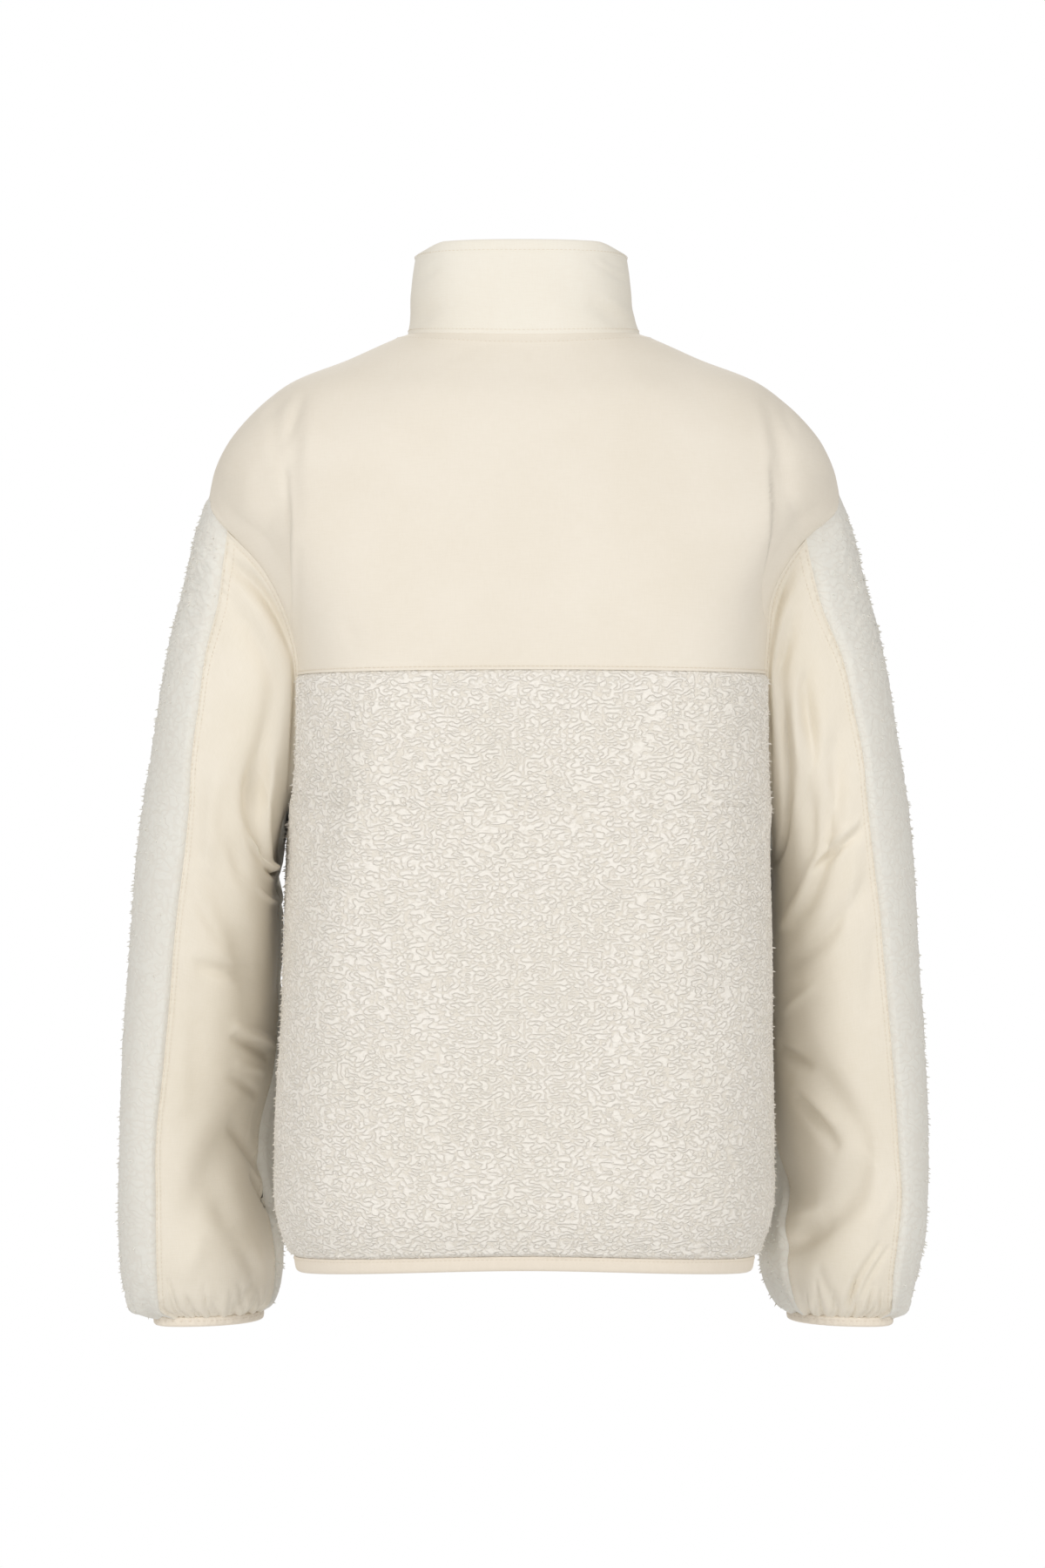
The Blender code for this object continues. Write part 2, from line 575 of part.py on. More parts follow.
def wall(name, outer, inner, colour, wraps=False):
    """A cloth wall between two grids of points, closed along its edges."""
    rows, columns = outer.shape[:2]
    count = rows * columns
    quads = grid_quads(rows, columns, wraps)
    first = np.arange(columns)
    last = first + (rows - 1) * columns
    faces = [quads, quads[:, ::-1] + count, rim_quads(first, count, wraps),
             rim_quads(last[::-1], count, wraps)]
    if not wraps:
        left = np.arange(rows) * columns
        faces.append(rim_quads(left[::-1], count, False))
        faces.append(rim_quads(left + columns - 1, count, False))
    faces = np.concatenate(faces)
    points = askew(np.concatenate([outer.reshape(-1, 3), inner.reshape(-1, 3)]))
    corners = points[faces]
    volume = np.sum(np.cross(corners[:, 0] - corners[:, 2], corners[:, 1] - corners[:, 3])
                    * corners.mean(1))
    if volume < 0:
        faces = faces[:, ::-1]
    mesh = bpy.data.meshes.new(name)
    mesh.from_pydata(points.tolist(), [], faces.tolist())
    mesh.shade_smooth()
    mesh.set_sharp_from_angle(angle=math.radians(50))
    return add_object(name, mesh, colour)


def shared_ways(back, heights, body_way, side):
    """Where yoke and sleeve lie in one sweep, both walls end on one shared slant."""
    degrees = armhole_degrees(heights)
    loop = degrees if back else 360 - degrees
    sleeve_way = -normals(plain_sleeve(side), np.full(len(heights), 0.001), loop, 0.0008, 0.5)
    alike = np.clip((np.sum(body_way * sleeve_way, axis=-1) - 0.1) / 0.6, 0, 1)[:, None]
    body = body_way * (2 - alike) + sleeve_way * alike
    sleeve = sleeve_way * (2 - alike) + body_way * alike
    return (body / np.linalg.norm(body, axis=-1, keepdims=True),
            sleeve / np.linalg.norm(sleeve, axis=-1, keepdims=True))


def body_wall(name, heights, turns, colour, pile, armhole_edges):
    """A panel of the body. turns: a row of turns for each height. armhole_edges: columns there."""
    grid_heights = np.repeat(heights[:, None], turns.shape[1], axis=1)
    points = body_surface(grid_heights, turns)
    way = normals(body_surface, grid_heights, turns, 0.0005, 0.002)
    at_hole = (heights > UNDERARM + 1e-6) & (heights < SHOULDER_TIP - 1e-6)
    for edge in armhole_edges:
        side = "left" if turns[0, edge] > 0 else "right"
        back = abs(turns[0, edge]) <= 1
        own = mirrored(way[at_hole, edge], side)
        way[at_hole, edge] = mirrored(shared_ways(back, heights[at_hole], own, side)[0], side)
    return wall(name, points + way * pile[..., None], points - way * WOVEN, colour)


def quarter_lengths(heights):
    """The length of a quarter of each ring, which turns metres into turns."""
    turns = np.linspace(0, 1, 25)
    rings = plain_body(heights[:, None], turns[None, :])
    return np.linalg.norm(np.diff(rings, axis=1), axis=-1).sum(1)[:, None]


def turn_at(rings, heights, x):
    """The turn at which the front lies x from its centre line."""
    tenth = around(rings, heights, np.full(heights.shape, 1.9))[..., 0]
    return 2 - 0.1 * x / tenth


def armhole_heights(first, last):
    return armhole_height(np.arange(first, last + 1, ARMHOLE_STEP))


def fleece_heights():
    """Rows of the lower panels, from the hem band to the yoke seam."""
    lowest = HEM_BAND + SEAM_GAP / 2
    highest = YOKE_SEAM - SEAM_GAP / 2
    below = np.linspace(0.033, UNDERARM - 0.018, ROWS_BELOW_UNDERARM)
    beside = armhole_heights(0, YOKE_SEAM_DEGREES - ARMHOLE_STEP)
    return np.concatenate([[lowest, lowest + PILE_RISE], below, beside,
                           [highest - PILE_RISE, highest]])


def fleece_pile(heights, turns, quarter, trees):
    grid_heights = np.repeat(heights[:, None], turns.shape[1], axis=1)
    to_side = np.abs(np.abs(turns) - 1) * quarter
    pile = pile_by_seams((to_side, grid_heights - heights[0], heights[-1] - grid_heights))
    return np.minimum(pile, pile_room(body_surface(grid_heights, turns), trees))


def fleece_panels():
    heights = fleece_heights()
    quarter = quarter_lengths(heights)
    gap = SEAM_GAP / 2 / quarter
    rise = PILE_RISE / quarter
    trees = {side: sleeve_tree(side) for side in OUTWARD}
    shares = np.linspace(0, 1, BODY_HALF_COLUMNS)[None, :]
    half = shares * (1 - 2 * rise)
    half = np.concatenate([half[:, 1:-1], 1 - rise, 1 - gap], axis=1)
    turns = np.concatenate([-half[:, ::-1], np.zeros_like(gap), half], axis=1)
    pile = fleece_pile(heights, turns, quarter, list(trees.values()))
    body_wall("back_panel", heights, turns, "fleece", pile, (0, -1))
    edge = turn_at(body_ring, heights, ZIP_HALF_OPENING)[:, None]
    turns = 1 + gap + (edge - 1 - gap) * shares
    turns[:, 1:2] = 1 + gap + rise
    turns[:, -2:-1] = edge - rise
    to_edge = pile_by_seams([(edge - turns) * quarter]) / PILE
    for side in OUTWARD:
        turns_here = turns * OUTWARD[side]
        pile = fleece_pile(heights, turns_here, quarter, [trees[side]]) * to_edge
        body_wall("front_panel_" + side, heights, turns_here, "fleece", pile, (0,))


def yoke_heights():
    rows = armhole_heights(YOKE_SEAM_DEGREES, 180)
    rows[0] += SEAM_GAP / 2
    above = np.linspace(SHOULDER_TIP, NECK - SEAM_GAP / 2, ROWS_ABOVE_TIP + 1)[1:]
    return np.concatenate([rows, above])


def yokes():
    heights = yoke_heights()
    gap = SEAM_GAP / 2 / quarter_lengths(heights)
    forward = SEAM_FORWARD * smooth((heights - SHOULDER_TIP) / (NECK - SHOULDER_TIP))[:, None]
    half = np.linspace(0, 1, BODY_HALF_COLUMNS + 1)[None, :] * (1 + forward - gap)
    turns = np.concatenate([-half[:, :0:-1], half], axis=1)
    body_wall("yoke_back", heights, turns, "woven", np.zeros_like(turns), (0, -1))
    start = 1 + forward + gap
    edge = turn_at(body_ring, heights, ZIP_HALF_OPENING)[:, None]
    turns = start + (edge - start) * np.linspace(0, 1, BODY_HALF_COLUMNS)[None, :]
    for side in OUTWARD:
        body_wall("yoke_front_" + side, heights, turns * OUTWARD[side], "woven",
                  np.zeros_like(turns), (0,))


def band(name, rings, rows, columns, colour):
    """A ring of cloth open at the zip. rows: height, how far its outer face stands off, its depth."""
    heights, stand, depth = np.array(rows).T[:, :, None]
    turns = turn_at(rings, heights, ZIP_HALF_OPENING) * np.linspace(-1, 1, columns)[None, :]
    grid = np.broadcast_to(heights, turns.shape)

    def surface(height, turn):
        return around(rings, height, turn)

    points = surface(grid, turns)
    inside = np.clip(grid, heights[0] + 0.001, heights[-1] - 0.001)
    way = normals(surface, inside, turns, 0.0005, 0.002)
    wall(name, points + way * stand[..., None], points - way * depth[..., None], colour)


def collar_and_hem():
    band("collar", collar_ring, (
        (NECK + SEAM_GAP, 0.0, COLLAR_CLOTH),
        (0.664, 0.0004, COLLAR_CLOTH),
        (0.680, 0.0006, COLLAR_CLOTH),
        (0.696, 0.0004, COLLAR_CLOTH),
        (COLLAR_BAND - SEAM_GAP / 2, 0.0, COLLAR_CLOTH)), COLLAR_COLUMNS, "woven")
    band("collar_binding", collar_ring, (
        (COLLAR_BAND + SEAM_GAP, 0.0, 0.0028),
        (0.7105, 0.0007, 0.0031),
        (0.7160, 0.0007, 0.0031),
        (COLLAR_TOP, -0.0006, 0.0024)), COLLAR_COLUMNS, "binding")
    band("hem_binding", body_ring, (
        (0.0, -0.0004, 0.0016),
        (0.0018, 0.0010, 0.0026),
        (0.0090, 0.0010, 0.0026),
        (HEM_BAND - SEAM_GAP / 2, 0.0002, 0.0020)), HEM_COLUMNS, "binding")


def sleeve_rows():
    rows = np.linspace(0.036, SLEEVE_END - GATHER_LENGTH, SLEEVE_ROWS)
    ends = SLEEVE_END - np.array([0.020, 0.012, 0.006, SEAM_GAP / 2])
    return np.concatenate([[0.0005, 0.009, 0.020], rows, ends])[:, None]


def sleeve_panel(name, side, start, end, colour, tree):
    """A sleeve panel between two seams. Its first row has the armhole's own steps."""
    along = sleeve_rows()
    steps = np.arange(0, 721, ARMHOLE_STEP)
    inside = steps[(steps > start[0] + 4) & (steps < end[0] - 4)]
    at_hole = (np.concatenate([start[0], inside, end[0]]) - start[0]) / (end[0] - start[0])
    even = np.linspace(0, 1, len(at_hole))
    blend = smooth(along / 0.05)
    share = at_hole * (1 - blend) + even * blend
    degrees = start + (end - start) * share
    surface = sleeve_surface(side)
    spread = np.broadcast_to(along, degrees.shape)
    points = surface(spread, degrees)
    way = -normals(surface, spread, degrees, 0.0005, 0.5)
    loop = np.mod(degrees[0], 360)
    for back in (True, False):
        here = (loop <= 180) == back
        heights = armhole_height(np.where(back, loop, 360 - loop)[here])
        heights = np.clip(heights, UNDERARM + 1e-5, SHOULDER_TIP - 1e-5)
        turn = np.full(len(heights), 0.998 if back else 1.002)
        own = normals(body_surface, heights, turn, 0.0003, 0.001)
        way[0, here] = shared_ways(back, heights, own, side)[1]
    lift = gathers(spread, degrees, share, (len(at_hole) - 1) // 2)
    if tree is not None:
        to_seam = np.minimum(degrees - start, end - degrees) * SLEEVE_GIRTH / 360
        pile = pile_by_seams((to_seam, spread - along[0], along[-1] - spread))
        lift = lift + np.minimum(pile, pile_room(mirrored(points, side), [tree]))
    wall(name, mirrored(points + way * lift[..., None], side),
         mirrored(points - way * WOVEN, side), colour)


def sleeves():
    along = sleeve_rows()
    for side in OUTWARD:
        rings = plain_sleeve(side)(along, np.arange(0, 361, 5.0)[None, :])
        girth = np.linalg.norm(np.diff(rings, axis=1), axis=-1).sum(1)[:, None]
        gap = SLEEVE_SEAM_GAP / 2 / girth * 360
        inner = sleeve_seam("inner_" + side, along)
        outer = sleeve_seam("outer_" + side, along)
        sleeve_panel("sleeve_woven_" + side, side, inner + gap, outer - gap, "woven", None)
        sleeve_panel("sleeve_fleece_" + side, side, outer + gap, inner + 360 - gap, "fleece",
                     body_tree(side))
        cuff_binding(side)


def cuff_binding(side):
    rows = np.array((
        (SLEEVE_END + SEAM_GAP / 2, 0.0002, 0.0020),
        (0.5715, 0.0012, 0.0026),
        (0.5775, 0.0012, 0.0026),
        (CUFF_END, -0.0004, 0.0016)))
    along, stand, depth = rows.T[:, :, None]
    degrees = np.linspace(0, 360, CUFF_COLUMNS + 1)[None, :-1]
    spread, degrees = np.broadcast_arrays(along, degrees)
    points = plain_sleeve(side)(spread, degrees)
    way = -normals(plain_sleeve(side), np.clip(spread, 0.5712, 0.5778), degrees, 0.0005, 0.5)
    wall("cuff_binding_" + side, mirrored(points + way * stand[..., None], side),
         mirrored(points - way * depth[..., None], side), "binding", wraps=True)


def zip_tapes():
    """Each tape lies inside its front, with its half of the teeth as one bead along its edge."""
    slider_foot = SLIDER_HEIGHT + POST_FOOT - 0.0006
    depths = np.array(TAPE_DEPTHS)
    beside_fronts = np.concatenate([fleece_heights()[2:], yoke_heights()[1:-1]])
    heights = np.concatenate([depths[:3, 0], beside_fronts, depths[3:7, 0],
                              [0.664, 0.680, 0.696, slider_foot, slider_foot + 0.0004,
                               depths[-1, 0]]])
    closed = (heights <= slider_foot)[:, None]
    start = np.where(closed, CHAIN_HALF_GAP, TAPE_EDGE)
    x = np.concatenate([start] + [np.full_like(start, value) for value in
                                  (CHAIN_HALF_WIDTH, CHAIN_HALF_WIDTH + 0.0003, TAPE_REACH)], axis=1)
    chain = np.where(closed, CHAIN_THICKNESS, TAPE_THICKNESS) / 2
    half = np.concatenate([chain, chain] + [np.full_like(chain, TAPE_THICKNESS / 2)] * 2, axis=1)
    grid = np.broadcast_to(heights[:, None], x.shape)
    turns = np.where(grid > NECK, turn_at(collar_ring, grid, x), turn_at(body_ring, grid, x))
    middle = np.interp(grid, depths[:, 0], depths[:, 1])
    for side in OUTWARD:
        here = turns * OUTWARD[side]
        points = front_line(grid, here)
        below = normals(plain_body, np.minimum(grid, NECK - 0.004), here, 0.004, 0.002)
        above = normals(collar_surface, np.maximum(grid, NECK + 0.004), here, 0.004, 0.002)
        way = np.where((grid > NECK)[..., None], above, below)
        wall("zip_tape_" + side, points - way * (middle - half)[..., None],
             points - way * (middle + half)[..., None], "zip_tape")


def box(name, colour, collection, low, high, frame):
    """A box from its lowest to its highest corner in the frame's own axes."""
    low = np.array(low)
    high = np.array(high)
    signs = np.array([(i, j, k) for i in (0, 1) for j in (0, 1) for k in (0, 1)])
    corners = low + (high - low) * signs
    points = [frame @ Matrix.Translation(corner).to_translation() for corner in corners.tolist()]
    quads = ((0, 1, 3, 2), (4, 6, 7, 5), (0, 4, 5, 1), (2, 3, 7, 6), (0, 2, 6, 4), (1, 5, 7, 3))
    mesh = bpy.data.meshes.new(name)
    mesh.from_pydata(points, [], quads)
    return add_object(name, mesh, colour, collection)


def combine(target, tool, operation):
    modifier = target.modifiers.new(tool.name, "BOOLEAN")
    modifier.operation = operation
    modifier.solver = "EXACT"
    modifier.object = tool
    tool.hide_render = True
    tool.display_type = "WIRE"


def zip_frame():
    """The middle of the chain at the slider: X across, Y into the jacket, Z up the zip."""
    height = np.array([SLIDER_HEIGHT])
    turn = np.array([2.0])
    point = front_line(height, turn)[0]
    above = front_line(height + 0.002, turn)[0]
    up = (above - point) / np.linalg.norm(above - point)
    inward = np.cross(up, (1.0, 0.0, 0.0))
    depth = TAPE_DEPTHS[-1][1]
    frame = np.eye(4)
    frame[:3, 1] = inward
    frame[:3, 2] = up
    frame[:3, 3] = point + inward * depth
    return Matrix(frame.tolist())


def zip_slider():
    frame = zip_frame()
    wide = PLATE[0] / 2
    tall = PLATE[1] / 2
    slider = box("zip_slider", "zip_hardware", "fleece_jacket",
                 (-wide, -FRONT_PLATE[1], -tall), (wide, -FRONT_PLATE[0], tall), frame)
    back = box("slider_back", "zip_hardware", "cutters",
               (-wide, -BACK_PLATE[1], -tall), (wide, -BACK_PLATE[0], tall), frame)
    post = box("slider_post", "zip_hardware", "cutters",
               (-POST_HALF_WIDTH, -FRONT_PLATE[1] + 0.0003, POST_FOOT),
               (POST_HALF_WIDTH, -BACK_PLATE[0] - 0.0003, tall - 0.0003), frame)
    tunnel, length = BAIL_TUNNEL
    top = FRONT_PLATE[1] + tunnel + BAIL_WALL
    bail = box("slider_bail", "zip_hardware", "cutters",
               (-BAIL_WIDTH / 2, -top, -length / 2 - BAIL_WALL),
               (BAIL_WIDTH / 2, -FRONT_PLATE[1] + 0.0003, length / 2 + BAIL_WALL), frame)
    hole = box("slider_tunnel", "zip_hardware", "cutters",
               (-wide, -FRONT_PLATE[1] - tunnel, -length / 2),
               (wide, -FRONT_PLATE[1], length / 2), frame)
    combine(slider, back, "UNION")
    combine(slider, post, "UNION")
    combine(slider, bail, "UNION")
    combine(slider, hole, "DIFFERENCE")


def zip_pull():
    """The pull tab, whose upper bar lies in the slider's bail and is its hinge."""
    frame = zip_frame()
    hinge = frame @ Matrix.Translation((0, -FRONT_PLATE[1] - BAIL_TUNNEL[0] / 2, 0)).to_translation()
    tilt = frame.to_3x3().to_4x4()
    wide = PULL_WIDTH / 2
    half = PULL_THICKNESS / 2
    pull = box("zip_pull", "zip_hardware", "fleece_jacket",
               (-wide, -half, PULL_BAR - PULL_LENGTH), (wide, half, PULL_BAR), tilt)
    eye = box("pull_eye", "zip_hardware", "cutters",
              (-PULL_EYE[0] / 2, -PULL_LENGTH, -PULL_BAR - PULL_EYE[1]),
              (PULL_EYE[0] / 2, PULL_LENGTH, -PULL_BAR), tilt)
    pull.location = hinge
    eye.location = hinge
    combine(pull, eye, "DIFFERENCE")


def main():
    for found in list(bpy.data.objects):
        bpy.data.objects.remove(found, do_unlink=True)
    for name in ("fleece_jacket", "cutters"):
        collection = bpy.data.collections.new(name)
        bpy.context.scene.collection.children.link(collection)
    fleece_panels()
    yokes()
    collar_and_hem()
    sleeves()
    zip_tapes()
    zip_slider()
    zip_pull()


main()
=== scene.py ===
import math

import bmesh
import bpy
import numpy as np
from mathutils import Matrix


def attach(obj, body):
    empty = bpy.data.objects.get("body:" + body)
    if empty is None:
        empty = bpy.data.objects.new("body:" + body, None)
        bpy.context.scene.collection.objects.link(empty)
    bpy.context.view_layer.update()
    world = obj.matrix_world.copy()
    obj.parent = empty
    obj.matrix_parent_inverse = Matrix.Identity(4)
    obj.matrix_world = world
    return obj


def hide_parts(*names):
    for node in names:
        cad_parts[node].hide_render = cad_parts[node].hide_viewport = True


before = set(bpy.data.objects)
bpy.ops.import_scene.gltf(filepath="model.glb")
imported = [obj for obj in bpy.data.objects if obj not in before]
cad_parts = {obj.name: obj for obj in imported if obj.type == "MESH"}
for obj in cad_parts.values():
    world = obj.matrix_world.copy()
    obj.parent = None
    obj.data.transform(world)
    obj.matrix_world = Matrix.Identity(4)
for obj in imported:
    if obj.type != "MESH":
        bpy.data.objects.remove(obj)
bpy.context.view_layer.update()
outward = {"left": 1.0, "right": -1.0}

# The camera: the photograph shows 0.6 mm a pixel where the jacket's middle is, from a long lens
view = {"distance": 3.3, "aimX": 0.0012, "aimZ": -0.3048, "tall": 1800 * 0.0006, "film": 0.036}


def newObject(name, data):
    # An object of this data, put into the scene.
    made = bpy.data.objects.new(name, data)
    bpy.context.scene.collection.objects.link(made)
    return made


def addCamera():
    # Level, straight at the back. Focal length = film height * distance / height shown.
    lens = bpy.data.cameras.new("photoCamera")
    lens.sensor_fit = "VERTICAL"
    lens.sensor_height = view["film"] * 1000
    lens.lens = view["film"] * 1000 * view["distance"] / view["tall"]
    camera = newObject("photoCamera", lens)
    camera.location = (view["aimX"], view["distance"], view["aimZ"])
    camera.rotation_euler = (math.pi / 2, 0, math.pi)
    bpy.context.scene.camera = camera


addCamera()

# The jacket's surfaces, with the sizes of the part's own source
cloth = {
    "woven": 0.0020, "pile": 0.0040, "pileRise": 0.0045, "pressed": 0.20, "pileRoom": 0.45,
    "pileClear": 0.0009,
    "hemBand": 0.011, "underarm": 0.320, "shoulderTip": 0.545, "neck": 0.650, "collarBand": 0.709,
    "collarTop": 0.718, "yokeSeamDegrees": 80, "seamForward": 0.30, "sideSeamY": -0.010,
    "crestY": 0.0, "armholeFade": 0.150, "sleeveEnd": 0.570, "cuffEnd": 0.579, "sleeveGirth": 0.40,
    "gatherDepth": 0.0022, "gatherLength": 0.030, "stillAtSeam": 0.12,
    "bodyShift": -0.0055, "armholeLift": 0.013, "collarShift": 0.0022, "tuck": 0.0065,
    "halfOpening": 0.0050,
}
# Ends of the rings at the sides, below the underarm and above the shoulder's tip, and of the collar's:
# height, x, y, z
sideEnds = np.array([
    (0.000, 0.1560, -0.010, -0.6390), (0.011, 0.1575, -0.010, -0.6280),
    (0.034, 0.1655, -0.010, -0.6040), (0.085, 0.1675, -0.010, -0.5540),
    (0.180, 0.1640, -0.010, -0.4600), (0.260, 0.1620, -0.010, -0.3810),
    (0.300, 0.1612, -0.010, -0.3420), (0.320, 0.1620, -0.010, -0.3220),
    (0.545, 0.2170, 0.000, -0.1060), (0.558, 0.2130, 0.001, -0.0885), (0.572, 0.2040, 0.002, -0.0705),
    (0.600, 0.1650, 0.003, -0.0320), (0.625, 0.1200, 0.003, -0.0130), (0.642, 0.0900, 0.001, 0.0005),
    (0.650, 0.0800, 0.000, 0.0040),
])
collarEnds = np.array([
    (0.650, 0.0800, 0.000, 0.0040), (0.665, 0.0765, -0.002, 0.0175), (0.680, 0.0755, -0.003, 0.0310),
    (0.709, 0.0730, -0.005, 0.0560), (0.718, 0.0718, -0.006, 0.0645),
])
# Rings of the back and front: height, midY, midZ, squareness
backRings = np.array([
    (0.000, 0.105, -0.6300, 3.0), (0.011, 0.108, -0.6195, 3.0), (0.034, 0.118, -0.5975, 3.0),
    (0.085, 0.122, -0.5490, 3.1), (0.180, 0.123, -0.4565, 3.3), (0.260, 0.124, -0.3785, 3.4),
    (0.300, 0.125, -0.3400, 3.5), (0.320, 0.126, -0.3200, 3.5), (0.370, 0.128, -0.2700, 3.6),
    (0.413, 0.129, -0.2290, 3.6), (0.460, 0.127, -0.1810, 3.4), (0.500, 0.121, -0.1420, 3.0),
    (0.530, 0.114, -0.1120, 2.6), (0.545, 0.110, -0.0970, 2.4), (0.558, 0.106, -0.0845, 2.35),
    (0.572, 0.102, -0.0710, 2.3), (0.600, 0.092, -0.0440, 2.2), (0.625, 0.080, -0.0245, 2.2),
    (0.642, 0.070, -0.0085, 2.2), (0.650, 0.066, -0.0008, 2.2),
])
frontRings = np.array([
    (0.000, -0.118, -0.6400, 2.6), (0.011, -0.121, -0.6290, 2.6), (0.034, -0.132, -0.6060, 2.6),
    (0.085, -0.137, -0.5550, 2.6), (0.180, -0.141, -0.4620, 2.7), (0.260, -0.145, -0.3840, 2.7),
    (0.300, -0.146, -0.3450, 2.7), (0.320, -0.147, -0.3260, 2.7), (0.370, -0.146, -0.2790, 2.7),
    (0.413, -0.142, -0.2390, 2.8), (0.460, -0.136, -0.1970, 2.8), (0.500, -0.129, -0.1620, 2.7),
    (0.530, -0.122, -0.1370, 2.5), (0.545, -0.118, -0.1250, 2.4), (0.558, -0.115, -0.1165, 2.35),
    (0.572, -0.111, -0.1070, 2.3), (0.600, -0.104, -0.0890, 2.2), (0.625, -0.096, -0.0740, 2.2),
    (0.642, -0.090, -0.0640, 2.2), (0.650, -0.087, -0.0600, 2.2),
])
collarBackRings = np.array([
    (0.650, 0.0660, -0.0008, 2.2), (0.665, 0.0658, 0.0134, 2.3), (0.680, 0.0655, 0.0276, 2.4),
    (0.709, 0.0630, 0.0547, 2.5), (0.718, 0.0620, 0.0637, 2.4),
])
collarFrontRings = np.array([
    (0.650, -0.0870, -0.0600, 2.2), (0.665, -0.0872, -0.0450, 2.3), (0.680, -0.0870, -0.0300, 2.3),
    (0.709, -0.0840, -0.0020, 2.4), (0.718, -0.0830, 0.0065, 2.4),
])
# The armhole from the underarm to the tip of the shoulder: degrees, x, y, z
armholeBack = np.array([
    (0, 0.1620, -0.010, -0.3220), (30, 0.1600, 0.020, -0.3060), (60, 0.1580, 0.043, -0.2660),
    (90, 0.1600, 0.053, -0.2130), (120, 0.1790, 0.052, -0.1630), (150, 0.2105, 0.032, -0.1240),
    (180, 0.2170, 0.000, -0.1060),
])
armholeFront = np.array([
    (0, 0.1620, -0.010, -0.3220), (30, 0.1585, -0.043, -0.3060), (60, 0.1540, -0.068, -0.2660),
    (90, 0.1560, -0.078, -0.2130), (120, 0.1735, -0.074, -0.1630), (150, 0.2075, -0.044, -0.1240),
    (180, 0.2170, 0.000, -0.1060),
])
sleeveNames = ["along", "outerZ", "innerZ", "outerLeft", "innerLeft", "outerRight", "innerRight",
               "midY", "halfDepth", "turn", "square"]
sleeveRings = np.array([
    (0.000, -0.1060, -0.3220, 0.2170, 0.1620, 0.2170, 0.1620, -0.0120, 0.0650, 0, 2.0),
    (0.020, -0.1250, -0.3310, 0.2215, 0.1672, 0.2215, 0.1672, -0.0130, 0.0670, 1, 2.1),
    (0.050, -0.1550, -0.3420, 0.2280, 0.1700, 0.2285, 0.1700, -0.0140, 0.0690, 2, 2.1),
    (0.100, -0.2030, -0.3580, 0.2395, 0.1725, 0.2410, 0.1725, -0.0160, 0.0710, 4, 2.2),
    (0.170, -0.2750, -0.3860, 0.2510, 0.1730, 0.2530, 0.1735, -0.0200, 0.0710, 7, 2.2),
    (0.245, -0.3470, -0.4180, 0.2610, 0.1735, 0.2620, 0.1735, -0.0240, 0.0700, 10, 2.2),
    (0.320, -0.4200, -0.4560, 0.2670, 0.1750, 0.2665, 0.1735, -0.0290, 0.0680, 13, 2.2),
    (0.390, -0.4900, -0.5040, 0.2720, 0.1795, 0.2715, 0.1740, -0.0340, 0.0660, 16, 2.2),
    (0.460, -0.5605, -0.5600, 0.2745, 0.1870, 0.2740, 0.1815, -0.0390, 0.0640, 18, 2.2),
    (0.487, -0.5885, -0.5870, 0.2755, 0.1835, 0.2737, 0.1850, -0.0410, 0.0630, 18, 2.2),
    (0.515, -0.6175, -0.6145, 0.2755, 0.1785, 0.2725, 0.1750, -0.0430, 0.0620, 18, 2.2),
    (0.545, -0.6480, -0.6450, 0.2740, 0.1745, 0.2670, 0.1710, -0.0450, 0.0570, 17, 2.2),
    (0.556, -0.6605, -0.6585, 0.2725, 0.1755, 0.2655, 0.1745, -0.0460, 0.0520, 16, 2.2),
    (0.564, -0.6690, -0.6680, 0.2700, 0.1785, 0.2640, 0.1795, -0.0470, 0.0450, 15, 2.2),
    (0.570, -0.6742, -0.6732, 0.2580, 0.1835, 0.2560, 0.1850, -0.0470, 0.0370, 15, 2.2),
    (0.579, -0.6832, -0.6822, 0.2570, 0.1845, 0.2560, 0.1860, -0.0470, 0.0360, 15, 2.2),
])
# Seams between a sleeve's panels, in degrees round it
seamNames = ["along", "innerLeft", "outerLeft", "innerRight", "outerRight"]
sleeveSeams = np.array([
    (0.000, 12, 142, 14, 129), (0.040, 8, 135, 10, 126), (0.080, -4, 127, -2, 124),
    (0.110, -12, 114, -10, 115), (0.150, -18, 103, -16, 108), (0.200, -22, 98, -20, 104),
    (0.300, -24, 96, -24, 104), (0.400, -20, 93, -24, 104), (0.465, -14, 93, -22, 103),
    (0.540, -12, 103, 22, 113), (0.570, -2, 111, 30, 121),
])

